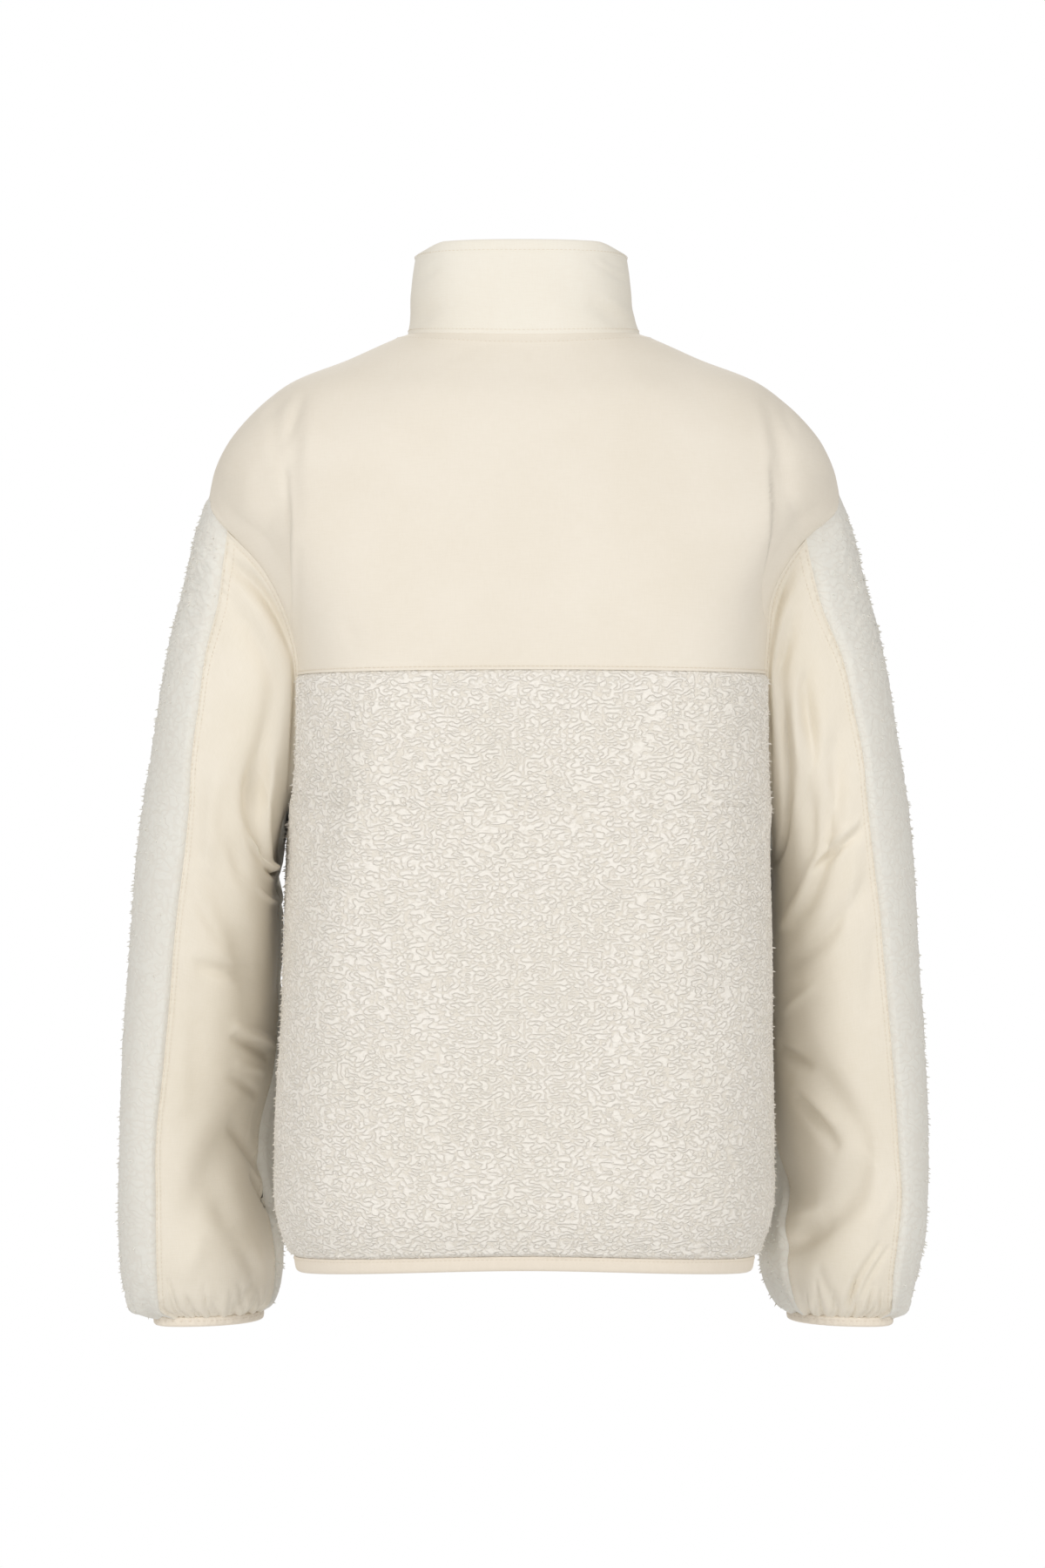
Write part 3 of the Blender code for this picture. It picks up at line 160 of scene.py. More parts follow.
# Folds as (from, from, to, to, half width, depth), the large ones of the solids. On a sleeve the places
# are along the arm and degrees round it, on the body and collar they are height and x.
sleeveFolds = {
    "left": (
        (0.040, 88, 0.120, 40, 0.012, -0.0070), (0.060, 62, 0.130, 20, 0.011, 0.0050),
        (0.200, 75, 0.285, 28, 0.020, -0.0060), (0.290, 30, 0.300, 70, 0.008, -0.0040),
        (0.330, 82, 0.420, 60, 0.016, -0.0030), (0.440, 20, 0.500, 66, 0.016, -0.0060),
        (0.070, 190, 0.180, 176, 0.016, -0.0030), (0.060, 300, 0.150, 334, 0.014, -0.0070),
        (0.210, 250, 0.300, 318, 0.018, -0.0050), (0.400, 232, 0.470, 284, 0.018, -0.0050),
        (0.340, 320, 0.510, 320, 0.020, 0.0110),
    ),
    "right": (
        (0.030, 84, 0.060, 50, 0.010, -0.0055), (0.110, 92, 0.200, 42, 0.014, -0.0085),
        (0.150, 62, 0.210, 20, 0.012, 0.0050), (0.240, 84, 0.270, 28, 0.014, -0.0050),
        (0.380, 34, 0.440, 66, 0.014, -0.0060), (0.460, 72, 0.520, 36, 0.014, -0.0060),
        (0.080, 186, 0.170, 172, 0.016, -0.0030), (0.050, 310, 0.140, 334, 0.014, -0.0070),
        (0.230, 256, 0.310, 322, 0.018, -0.0050), (0.390, 232, 0.480, 284, 0.018, -0.0050),
        (0.340, 320, 0.510, 320, 0.020, 0.0070),
    ),
}
backFolds = (
    (0.390, 0.128, 0.270, 0.148, 0.018, -0.0045), (0.380, 0.100, 0.200, 0.140, 0.016, 0.0025),
    (0.300, -0.140, 0.160, -0.120, 0.022, -0.0030),
)
frontFolds = (
    (0.520, 0.150, 0.430, 0.140, 0.012, -0.0060), (0.520, -0.150, 0.430, -0.142, 0.012, -0.0060),
    (0.370, 0.120, 0.260, 0.080, 0.018, -0.0040), (0.360, -0.126, 0.250, -0.092, 0.018, -0.0040),
    (0.200, 0.110, 0.080, 0.120, 0.024, -0.0035), (0.180, -0.104, 0.060, -0.118, 0.024, -0.0035),
)
# The flat back ends in an upright fold at each side, outside which the cloth lies deeper
backStep = {"left": 0.1640, "right": -0.1620, "deep": 0.0052, "soft": 0.0032, "top": 0.566,
            "fade": 0.045}
# Finer creases that only the dressed jacket has
backCreases = (
    (0.592, 0.153, 0.571, 0.164, 0.0035, -0.0022), (0.591, 0.171, 0.562, 0.1706, 0.0050, -0.0018),
    (0.594, 0.162, 0.584, 0.177, 0.0030, -0.0012), (0.589, 0.155, 0.520, 0.163, 0.0085, -0.0026),
    (0.583, 0.147, 0.545, 0.154, 0.0060, 0.0012), (0.500, 0.158, 0.440, 0.160, 0.0040, -0.0012),
    (0.589, -0.167, 0.539, -0.173, 0.0080, -0.0026), (0.586, -0.159, 0.550, -0.163, 0.0050, 0.0012),
    (0.592, -0.176, 0.577, -0.180, 0.0035, -0.0014), (0.535, 0.176, 0.500, 0.186, 0.0060, -0.0016),
    (0.530, -0.178, 0.505, -0.188, 0.0060, -0.0014), (0.548, 0.190, 0.520, 0.200, 0.0060, 0.0010),
    (0.498, -0.160, 0.446, -0.161, 0.0040, -0.0012),
    (0.634, 0.068, 0.585, 0.124, 0.0140, -0.0010), (0.632, -0.076, 0.590, -0.130, 0.0130, -0.0011),
    (0.600, 0.060, 0.560, 0.110, 0.0180, 0.0008), (0.520, -0.080, 0.450, -0.110, 0.0220, 0.0008),
    (0.510, 0.070, 0.440, 0.100, 0.0240, -0.0008), (0.640, 0.030, 0.630, 0.052, 0.0050, -0.0006),
    (0.432, -0.060, 0.446, -0.052, 0.0050, -0.0005), (0.428, 0.034, 0.440, 0.040, 0.0045, -0.0005),
    (0.430, 0.118, 0.447, 0.124, 0.0050, -0.0006),
)
frontCreases = (
    (0.592, 0.150, 0.560, 0.162, 0.0040, -0.0020), (0.590, -0.154, 0.556, -0.165, 0.0045, -0.0022),
    (0.560, 0.150, 0.500, 0.150, 0.0080, -0.0020), (0.556, -0.152, 0.498, -0.148, 0.0080, -0.0018),
    (0.620, 0.060, 0.560, 0.100, 0.0120, -0.0012), (0.622, -0.064, 0.566, -0.108, 0.0110, -0.0012),
    (0.470, 0.060, 0.430, 0.020, 0.0090, -0.0010), (0.474, -0.066, 0.428, -0.030, 0.0080, -0.0010),
    (0.540, 0.030, 0.500, 0.024, 0.0060, 0.0008), (0.520, -0.028, 0.486, -0.022, 0.0060, 0.0008),
)
collarCreases = (
    (0.706, -0.056, 0.700, -0.067, 0.0028, -0.0010), (0.696, -0.059, 0.690, -0.070, 0.0030, -0.0011),
    (0.7035, -0.048, 0.698, -0.056, 0.0026, -0.0006), (0.668, -0.050, 0.656, -0.069, 0.0055, -0.0017),
    (0.675, -0.058, 0.664, -0.073, 0.0045, 0.0012), (0.667, 0.060, 0.657, 0.072, 0.0045, -0.0010),
    (0.699, 0.058, 0.690, 0.068, 0.0040, -0.0007), (0.690, 0.020, 0.668, 0.034, 0.0090, -0.0006),
    (0.688, -0.016, 0.668, -0.026, 0.0080, 0.0005),
)
sleeveCreases = {
    "left": (
        (0.017, 130, 0.006, 98, 0.0055, -0.0060), (0.040, 120, 0.036, 96, 0.0090, -0.0026),
        (0.006, 122, 0.001, 100, 0.0040, 0.0014), (0.001, 92, 0.012, 40, 0.0060, -0.0050),
        (0.074, 62, 0.104, 60, 0.0130, -0.0052), (0.150, 58, 0.175, 54, 0.0110, -0.0030),
        (0.122, 46, 0.116, -6, 0.0050, 0.0040), (0.132, 26, 0.121, -8, 0.0040, -0.0050),
        (0.090, 88, 0.200, 78, 0.0080, 0.0022), (0.169, 30, 0.171, -14, 0.0050, 0.0020),
        (0.350, 37, 0.366, -14, 0.0055, 0.0034), (0.361, 36, 0.378, -8, 0.0045, -0.0040),
        (0.384, 30, 0.392, -4, 0.0040, 0.0018), (0.396, 34, 0.412, 0, 0.0050, -0.0028),
        (0.440, 20, 0.472, -12, 0.0060, -0.0040), (0.478, 0, 0.506, -20, 0.0040, -0.0040),
        (0.486, 40, 0.512, 36, 0.0120, -0.0040), (0.530, 30, 0.545, 20, 0.0080, -0.0024),
        (0.549, 24, 0.563, 40, 0.0036, -0.0022), (0.563, 40, 0.570, 52, 0.0030, -0.0018),
        (0.236, 84, 0.262, 62, 0.0080, -0.0014), (0.300, 84, 0.420, 72, 0.0110, 0.0016),
        (0.250, 40, 0.330, 30, 0.0120, -0.0024), (0.520, 62, 0.540, 78, 0.0070, 0.0016),
        (0.040, 300, 0.080, 338, 0.0060, -0.0030), (0.170, 300, 0.196, 340, 0.0060, -0.0026),
        (0.330, 286, 0.352, 334, 0.0070, -0.0026), (0.480, 290, 0.500, 336, 0.0060, -0.0026),
    ),
    "right": (
        (0.006, 117, 0.001, 104, 0.0040, -0.0040), (0.012, 116, 0.003, 100, 0.0045, -0.0036),
        (0.018, 110, 0.012, 94, 0.0040, 0.0014), (0.028, 104, 0.020, 88, 0.0060, -0.0036),
        (0.001, 90, 0.014, 40, 0.0060, -0.0050), (0.056, 97, 0.086, 82, 0.0075, -0.0068),
        (0.050, 84, 0.070, 70, 0.0060, 0.0020), (0.093, 62, 0.139, 54, 0.0120, -0.0052),
        (0.064, 45, 0.100, 10, 0.0090, -0.0034), (0.112, 78, 0.160, 76, 0.0060, 0.0018),
        (0.166, 56, 0.186, 94, 0.0050, -0.0034), (0.158, 58, 0.176, 92, 0.0045, 0.0018),
        (0.200, 90, 0.260, 72, 0.0090, 0.0018), (0.290, 96, 0.350, 88, 0.0080, -0.0018),
        (0.310, 40, 0.330, 16, 0.0060, 0.0020), (0.370, 6, 0.384, 30, 0.0060, -0.0050),
        (0.416, 22, 0.450, 46, 0.0060, -0.0056), (0.404, 20, 0.434, 46, 0.0050, 0.0016),
        (0.504, 12, 0.500, 30, 0.0050, 0.0020), (0.511, 40, 0.524, 20, 0.0080, -0.0060),
        (0.505, -10, 0.512, -24, 0.0040, -0.0020), (0.521, 92, 0.566, 72, 0.0034, -0.0028),
        (0.524, 100, 0.561, 84, 0.0032, -0.0022), (0.480, 96, 0.506, 84, 0.0070, 0.0014),
        (0.540, 50, 0.560, 62, 0.0040, -0.0020), (0.440, 84, 0.500, 76, 0.0090, 0.0014),
        (0.044, 306, 0.086, 338, 0.0060, -0.0030), (0.180, 296, 0.206, 338, 0.0060, -0.0026),
        (0.340, 290, 0.362, 332, 0.0070, -0.0026), (0.474, 286, 0.496, 334, 0.0060, -0.0026),
    ),
}
# Sharp gather creases above each cuff: degrees round the sleeve, length, drift in degrees, depth
cuffGathers = {
    "left": (
        (104, 0.012, 2, 0.0012), (98, 0.016, -2, 0.0015), (91, 0.026, 3, 0.0018),
        (85, 0.014, -3, 0.0013), (78, 0.016, 4, 0.0016), (69, 0.022, -2, 0.0018),
        (60, 0.013, 3, 0.0013), (52, 0.018, -5, 0.0016), (43, 0.012, 3, 0.0014),
        (34, 0.022, 5, 0.0018), (24, 0.012, -3, 0.0013), (14, 0.016, 4, 0.0014),
    ),
    "right": (
        (116, 0.014, 2, 0.0013), (107, 0.020, -3, 0.0016), (99, 0.012, 2, 0.0013),
        (92, 0.024, 4, 0.0018), (84, 0.016, -3, 0.0015), (75, 0.028, 5, 0.0018),
        (68, 0.012, -2, 0.0013), (60, 0.018, 3, 0.0016), (52, 0.024, -4, 0.0017),
        (44, 0.012, 3, 0.0013), (36, 0.016, 4, 0.0014),
    ),
}


def spline(at, knots, values):
    # Cubic curve through the knots; the slope at each is the mean of the slopes beside it.
    step = np.diff(knots)
    rise = np.diff(values) / step
    slope = np.empty(len(values))
    slope[0], slope[-1] = rise[0], rise[-1]
    slope[1:-1] = (rise[:-1] * step[1:] + rise[1:] * step[:-1]) / (step[1:] + step[:-1])
    at = np.clip(at, knots[0], knots[-1])
    i = np.clip(np.searchsorted(knots, at, side="right") - 1, 0, len(step) - 1)
    t = (at - knots[i]) / step[i]
    return (values[i] * (1 + 2 * t) * (1 - t) ** 2 + slope[i] * step[i] * t * (1 - t) ** 2
            + values[i + 1] * t**2 * (3 - 2 * t) + slope[i + 1] * step[i] * t**2 * (t - 1))


def splines(at, table):
    # A spline for each column after the first, which holds the knots.
    return [spline(at, table[:, 0], values) for values in table[:, 1:].T]


def unit(vectors):
    # vector / its length.
    return vectors / np.linalg.norm(vectors, axis=-1, keepdims=True)


def smooth(t):
    # 3t^2 - 2t^3 between 0 and 1.
    t = np.clip(t, 0.0, 1.0)
    return t * t * (3 - 2 * t)


def squaredRound(angle, square):
    # Sine and cosine divided by (|sin|^n + |cos|^n)^(1/n), a superellipse.
    reach = (np.abs(np.sin(angle)) ** square + np.abs(np.cos(angle)) ** square) ** (-1 / square)
    return np.sin(angle) * reach, np.cos(angle) * reach


def foldLift(a, b, folds, bScale=1.0):
    # Sum over the folds of depth * fullness * exp(-(distance to the fold's line / half width)^2).
    lift = np.zeros(np.broadcast(a, b).shape)
    for fromA, fromB, toA, toB, halfWidth, depth in folds:
        runA, runB = toA - fromA, (toB - fromB) * bScale
        relA, relB = a - fromA, (b - fromB) * bScale
        t = np.clip((relA * runA + relB * runB) / (runA**2 + runB**2), 0, 1)
        away = (relA - t * runA) ** 2 + (relB - t * runB) ** 2
        lift += depth * (0.55 + 0.45 * np.sin(np.pi * t)) * np.exp(-away / halfWidth**2)
    return lift


def armholeHeight(degrees):
    # Height = underarm + span * (1 - cos) / 2.
    span = cloth["shoulderTip"] - cloth["underarm"]
    return cloth["underarm"] + span * (1 - np.cos(np.radians(degrees))) / 2


def armholeDegrees(height):
    # The inverse of armholeHeight.
    share = (height - cloth["underarm"]) / (cloth["shoulderTip"] - cloth["underarm"])
    return np.degrees(np.arccos(np.clip(1 - 2 * share, -1, 1)))


def armholePoint(back, degrees):
    # Splines through the armhole's own points.
    return np.stack(splines(degrees, armholeBack if back else armholeFront), -1)


def armholeLoop(degrees):
    # Up the armhole's back from 0 to 180 degrees, down its front from 180 to 360.
    degrees = np.mod(degrees, 360)
    back = armholePoint(True, np.minimum(degrees, 180))
    front = armholePoint(False, np.clip(360 - degrees, 0, 180))
    return np.where((degrees <= 180)[..., None], back, front)


def ringEnd(back, height, axis):
    # Side seam below the underarm, armhole beside it, crest of the shoulder above it.
    knots, values = sideEnds[:, 0], sideEnds[:, 1 + axis]
    below, above = knots <= cloth["underarm"], knots >= cloth["shoulderTip"]
    side = spline(height, knots[below], values[below])
    crest = spline(height, knots[above], values[above])
    hole = armholePoint(back, armholeDegrees(height))[..., axis]
    return np.where(height <= cloth["underarm"], side,
                    np.where(height >= cloth["shoulderTip"], crest, hole))


def ringPoint(across, midY, midZ, endX, endY, endZ, square, sideY):
    # Half a superellipse from one end (-1) over the middle (0) to the other (1), cut short at endY.
    lastDeep = np.clip((endY - sideY) / (midY - sideY), 0, 0.9)
    lastWide = (1 - lastDeep**square) ** (1 / square)
    last = np.arctan2(lastWide, lastDeep)
    angle = np.abs(across) * last
    wide, deep = squaredRound(angle, square)
    x = np.sign(across) * endX * wide / lastWide
    y = sideY + (midY - sideY) * deep
    z = midZ + (endZ - midZ) * (np.sin(angle) / np.sin(last)) ** 2
    return np.stack(np.broadcast_arrays(x, y, z), -1)


def bodyRing(back, height, across):
    # A ring of the body at this height, from the ring tables.
    midY, midZ, square = splines(height, backRings if back else frontRings)
    ends = [ringEnd(back, height, axis) for axis in range(3)]
    share = smooth((height - cloth["underarm"]) / (cloth["shoulderTip"] - cloth["underarm"]))
    sideY = cloth["sideSeamY"] + (cloth["crestY"] - cloth["sideSeamY"]) * share
    sideY = np.where(height > cloth["shoulderTip"], ends[1], sideY)
    return ringPoint(across, midY, midZ, *ends, square, sideY)


def collarRing(back, height, across):
    # A ring of the collar at this height.
    midY, midZ, square = splines(height, collarBackRings if back else collarFrontRings)
    ends = splines(height, collarEnds)
    return ringPoint(across, midY, midZ, *ends, square, ends[1])


def around(rings, height, turn):
    # A whole ring: 0 is the centre back, 1 and -1 the sides, 2 the centre front.
    front = rings(False, height, np.sign(turn) * (2 - np.abs(turn)))
    back = rings(True, height, np.clip(turn, -1, 1))
    return np.where((np.abs(turn) > 1)[..., None], front, back)


def slopeNormals(surface, a, b, stepA=0.0005, stepB=0.002):
    # Cross product of the surface's two slopes, at length 1.
    along = surface(a + stepA, b) - surface(a - stepA, b)
    across = surface(a, b + stepB) - surface(a, b - stepB)
    return unit(np.cross(along, across))


def plainBody(height, turn):
    # The body's rings with no folds.
    return around(bodyRing, height, turn)


def bodySurface(height, turn):
    # The plain body moved along its normal by the large folds, which die out at the side seams.
    point = plainBody(height, turn)
    normal = slopeNormals(plainBody, height, turn)
    lift = np.where(np.abs(turn) > 1, foldLift(height, point[..., 0], frontFolds),
                    foldLift(height, point[..., 0], backFolds))
    lift = lift * smooth(np.abs(np.abs(turn) - 1) / cloth["stillAtSeam"])
    return point + normal * lift[..., None]


def collarSurface(height, turn):
    # The collar's rings with no folds.
    return around(collarRing, height, turn)


def frontLine(height, turn):
    # The body below the neck, the collar above it.
    body = plainBody(np.minimum(height, cloth["neck"]), turn)
    return np.where((height > cloth["neck"])[..., None], collarSurface(height, turn), body)


def sleeveSection(side, along, degrees):
    # A superellipse ring leaning to the body: 0 degrees inside, 90 at the back, 180 outside.
    end = side.capitalize()
    names = ("outerZ", "innerZ", "outer" + end, "inner" + end, "midY", "halfDepth", "turn", "square")
    outerZ, innerZ, outerX, innerX, midY, halfDepth, turn, square = [
        spline(along, sleeveRings[:, 0], sleeveRings[:, sleeveNames.index(n)]) for n in names]
    halfX, halfZ = (outerX - innerX) / 2, (outerZ - innerZ) / 2
    lean = halfDepth * np.sin(np.radians(turn))
    half2 = halfX**2 + halfZ**2
    narrow = np.sqrt((half2 - lean**2) / half2)
    toBack, toBody = squaredRound(np.radians(degrees), square)
    x = (outerX + innerX) / 2 - toBody * halfX * narrow + toBack * lean
    y = midY + toBack * halfDepth * np.cos(np.radians(turn))
    z = (outerZ + innerZ) / 2 - toBody * halfZ * narrow
    return np.stack(np.broadcast_arrays(x, y, z), -1)


def plainSleeve(side):
    # The sleeve's rings, which start as the armhole's own outline and lose it down the arm.
    def surface(along, degrees):
        # section + kept * (armhole - first section)
        along, degrees = np.broadcast_arrays(along, degrees)
        kept = (1 - smooth(along / cloth["armholeFade"]))[..., None]
        off = armholeLoop(degrees) - sleeveSection(side, np.zeros_like(along), degrees)
        return sleeveSection(side, along, degrees) + kept * off

    return surface


def sleeveSurface(side):
    # The plain sleeve moved along its normal by the large folds.
    plain = plainSleeve(side)

    def surface(along, degrees):
        # plain + normal * folds, still at both ends
        normal = -slopeNormals(plain, along, degrees, stepB=0.5)
        lift = foldLift(along, np.mod(degrees, 360), sleeveFolds[side], cloth["sleeveGirth"] / 360)
        lift = lift * smooth(along / 0.03) * smooth((cloth["sleeveEnd"] - along) / 0.02)
        return plain(along, degrees) + normal * lift[..., None]

    return surface


def sleeveSeam(name, along):
    # Spline of the seam's degrees down the arm.
    return spline(along, sleeveSeams[:, 0], sleeveSeams[:, seamNames.index(name)])


def stepLift(height, x):
    # -deep * smooth(distance past the fold / soft), fading towards the shoulder.
    past = np.where(x > 0, x - backStep["left"], backStep["right"] - x)
    shown = smooth((backStep["top"] - height) / backStep["fade"])
    return -backStep["deep"] * smooth(past / backStep["soft"] + 0.5) * shown


def askew(points):
    # The wearer's stance: one bend of space that all pieces share.
    x, y, z = points[..., 0], points[..., 1], points[..., 2]
    back = smooth((y + 0.03) / 0.10)
    beside = np.exp(-((x + 0.185) / 0.030) ** 2 - ((z + 0.155) / 0.050) ** 2)
    lower = smooth((z + 0.56) / 0.16) * (1 - smooth((z + 0.14) / 0.12))
    inner = 1 - smooth((np.abs(x) - 0.165) / 0.065)
    collar = smooth((z + 0.002) / 0.03) * smooth((y + 0.07) / 0.06)
    tucked = np.exp(-((x + 0.168) / 0.022) ** 2 - ((z + 0.182) / 0.024) ** 2) * back
    shiftX = cloth["bodyShift"] * lower * inner * back + cloth["collarShift"] * collar
    shiftX = shiftX + cloth["tuck"] * tucked
    return points + np.stack([shiftX, np.zeros_like(x), cloth["armholeLift"] * beside * back], -1)


def mirrored(points, side):
    # x times 1 for the left side and -1 for the right.
    return points * np.array([outward[side], 1.0, 1.0])


def quarterLengths(heights):
    # Length of a quarter ring at each height, which turns metres into turns.
    rings = plainBody(heights[:, None], np.linspace(0, 1, 25)[None, :])
    return np.linalg.norm(np.diff(rings, axis=1), axis=-1).sum(1)[:, None]


def turnAt(rings, heights, x):
    # The turn whose point lies x from the centre line at the front.
    return 2 - 0.1 * x / around(rings, heights, np.full(heights.shape, 1.9))[..., 0]


def gathers(along, degrees, share, pleats):
    # Depth * nearness to the cuff * uneven * cos(2 pi * share * pleats).
    near = smooth(1 - (cloth["sleeveEnd"] - along) / cloth["gatherLength"])
    uneven = 0.75 + 0.25 * np.sin(np.radians(degrees) * 3)
    return cloth["gatherDepth"] * near * uneven * np.cos(2 * np.pi * share * pleats)


# The pile's curls
curls = {
    "wave": 0.0070,     # the field's wave: its lines, where it crosses 0, lie half of it apart
    "spread": 0.38,     # how far the curls' sizes vary
    "flat": 1.45,       # curls are wider than tall
    "cells": 112, "cell": 0.0012, "seed": 11,
    "groove": 0.62,     # share of the field's deviation that a groove takes
}


def curlCube():
    # Random numbers in a repeating cube, of which only waves near one length are kept, evened out by
    # the root of their own blurred square.
    n = curls["cells"]
    spectrum = np.fft.fftn(np.random.default_rng(curls["seed"]).standard_normal((n, n, n)))
    k = np.fft.fftfreq(n, curls["cell"])
    reach = np.sqrt(k[:, None, None] ** 2 + k[None, :, None] ** 2 + k[None, None, :] ** 2)
    field = np.fft.ifftn(spectrum * np.exp(-((reach * curls["wave"] - 1) / curls["spread"]) ** 2)).real
    blurred = np.fft.ifftn(np.fft.fftn(field**2) * np.exp(-((reach * curls["wave"] * 1.6) ** 2))).real
    field = field / np.sqrt(np.maximum(blurred, blurred.mean() * 0.2))
    return (field / field.std()).astype(np.float32)


curlField = curlCube()
curlTurns = (np.array(((0.36, 0.48, -0.80), (-0.80, 0.60, 0.0), (0.48, 0.64, 0.60))),
             np.array(((0.60, 0.0, 0.80), (0.64, 0.60, -0.48), (-0.48, 0.80, 0.36))))


def curlAt(points, which):
    # Trilinear reading of the cube, turned so that its repeats never line up with the cloth.
    at = (points * np.array([1, 1, curls["flat"]])) @ curlTurns[which].T / curls["cell"]
    low = np.floor(at).astype(np.int64)
    share = (at - low).astype(np.float32)
    total = np.zeros(points.shape[:-1], np.float32)
    for corner in ((i, j, k) for i in (0, 1) for j in (0, 1) for k in (0, 1)):
        weight = np.prod(np.where(corner, share, 1 - share), axis=-1)
        cell = (low + np.array(corner)) % curls["cells"]
        total += weight * curlField[cell[..., 0], cell[..., 1], cell[..., 2]]
    return total


def pebble(first, second):
    # 1 - exp(-(field / groove width)^2) parts the curls by winding lines; the second field's lines,
    # half as deep, cross them.
    first, second = [1 - np.exp(-(field / curls["groove"]) ** 2) for field in (first, second)]
    return first * (0.5 + 0.5 * second)


def pileBySeams(distances):
    # Full height times a smooth rise from the pressed share at each seam.
    height = cloth["pile"]
    for distance in distances:
        share = cloth["pressed"] + (1 - cloth["pressed"]) * distance / cloth["pileRise"]
        height = height * smooth(share)
    return height


def nearest(points, others):
    # Least distance by |p|^2 + |q|^2 - 2 p.q, in blocks.
    flat = points.reshape(-1, 3).astype(np.float32)
    cloud = others.reshape(-1, 3).astype(np.float32)
    centre = cloud.mean(0)
    flat, cloud = flat - centre, cloud - centre
    own = np.sum(cloud**2, -1)
    found = [np.min(own[None, :] - 2 * block @ cloud.T, axis=1) + np.sum(block**2, -1)
             for block in np.array_split(flat, max(1, len(flat) // 1500))]
    return np.sqrt(np.maximum(np.concatenate(found), 0)).reshape(points.shape[:-1])


def upsampled(coarse, step):
    # Linear filling between the rows and columns of a coarse grid.
    rows = np.arange((coarse.shape[0] - 1) * step + 1) / step
    columns = np.arange((coarse.shape[1] - 1) * step + 1) / step
    low = np.minimum(rows.astype(int), coarse.shape[0] - 2)
    tall = coarse[low] + (coarse[low + 1] - coarse[low]) * (rows - low)[:, None]
    left = np.minimum(columns.astype(int), coarse.shape[1] - 2)
    return tall[:, left] + (tall[:, left + 1] - tall[:, left]) * (columns - left)


def lowest(lift, reach):
    # The least lift within a few rows and columns, so that the inner face stays under every crease.
    for axis in (0, 1):
        ends = [(reach, reach) if i == axis else (0, 0) for i in (0, 1)]
        padded = np.pad(lift, ends, mode="edge")
        lift = np.lib.stride_tricks.sliding_window_view(padded, 2 * reach + 1, axis=axis).min(-1)
    return lift


def sleeveCloud(side):
    # Points over a sleeve, between which the body's pile has its room.
    along, degrees = np.meshgrid(np.linspace(0, cloth["sleeveEnd"], panels["roomRows"]),
                                 np.arange(-150, 151, panels["roomDegrees"]), indexing="ij")
    return mirrored(sleeveSurface(side)(along, degrees), side)


def bodyCloud(side):
    # Points over one side of the body, which bound the sleeve's pile.
    height, turn = np.meshgrid(np.linspace(0, cloth["shoulderTip"], panels["roomHeights"]),
                               np.arange(0.3, 1.7, panels["roomTurns"]), indexing="ij")
    return bodySurface(height, turn * outward[side])


inward = 4  # the plain inner face has every fourth row and column of the outer one
coarsely = (slice(None, None, inward), slice(None, None, inward))


def gridNormals(points):
    # Cross product of the grid's own differences.
    normal = np.cross(np.gradient(points, axis=0), np.gradient(points, axis=1))
    return normal / np.maximum(np.linalg.norm(normal, axis=-1, keepdims=True), 1e-12)


def facing(normals, way):
    # The normals, turned round where the middle one points against the way.
    return normals * np.sign(np.sum(normals[normals.shape[0] // 2, normals.shape[1] // 2] * way))


def gridQuads(rows, columns, wraps):
    # Each face joins a point, the one beside it and the two below.
    across = np.arange(columns if wraps else columns - 1)
    beside = (across + 1) % columns
    row = np.arange(rows - 1)[:, None] * columns
    quads = np.stack([row + across, row + beside, row + columns + beside, row + columns + across], -1)
    return quads.reshape(-1, 4)


def rimFaces(fine, coarse, wraps):
    # One face for each coarse step of the rim: its fine points out, its two coarse points back.
    steps = len(coarse) if wraps else len(coarse) - 1
    which = np.arange(steps)[:, None] * inward + np.arange(inward + 1)[None, :]
    following = (np.arange(steps) + 1) % len(coarse)
    return np.concatenate([fine[which % len(fine)][:, ::-1], coarse[:steps, None],
                           coarse[following][:, None]], axis=1)


def addMesh(name, points, faceSets, materials, materialOf=None, uv=None):
    # Puts whole arrays of points and faces into one mesh.
    mesh = bpy.data.meshes.new(name)
    loops = np.concatenate([faces.ravel() for faces in faceSets]).astype(np.int32)
    sizes = np.concatenate([np.full(len(faces), faces.shape[1]) for faces in faceSets])
    mesh.vertices.add(len(points))
    mesh.vertices.foreach_set("co", points.astype(np.float32).ravel())
    mesh.loops.add(len(loops))
    mesh.loops.foreach_set("vertex_index", loops)
    mesh.polygons.add(len(sizes))
    starts = np.concatenate([[0], np.cumsum(sizes)[:-1]]).astype(np.int32)
    mesh.polygons.foreach_set("loop_start", starts)
    if materialOf is not None:
        indices = np.concatenate([np.full(len(faces), i) for faces, i in zip(faceSets, materialOf)])
        mesh.polygons.foreach_set("material_index", indices.astype(np.int32))
    mesh.update(calc_edges=True)
    for material in materials:
        mesh.materials.append(material)
    if uv is not None:
        mesh.uv_layers.new(name="cut").data.foreach_set("uv", uv[loops].astype(np.float32).ravel())
    mesh.shade_smooth()
    mesh.set_sharp_from_angle(angle=math.radians(58))
    return newObject(name, mesh)


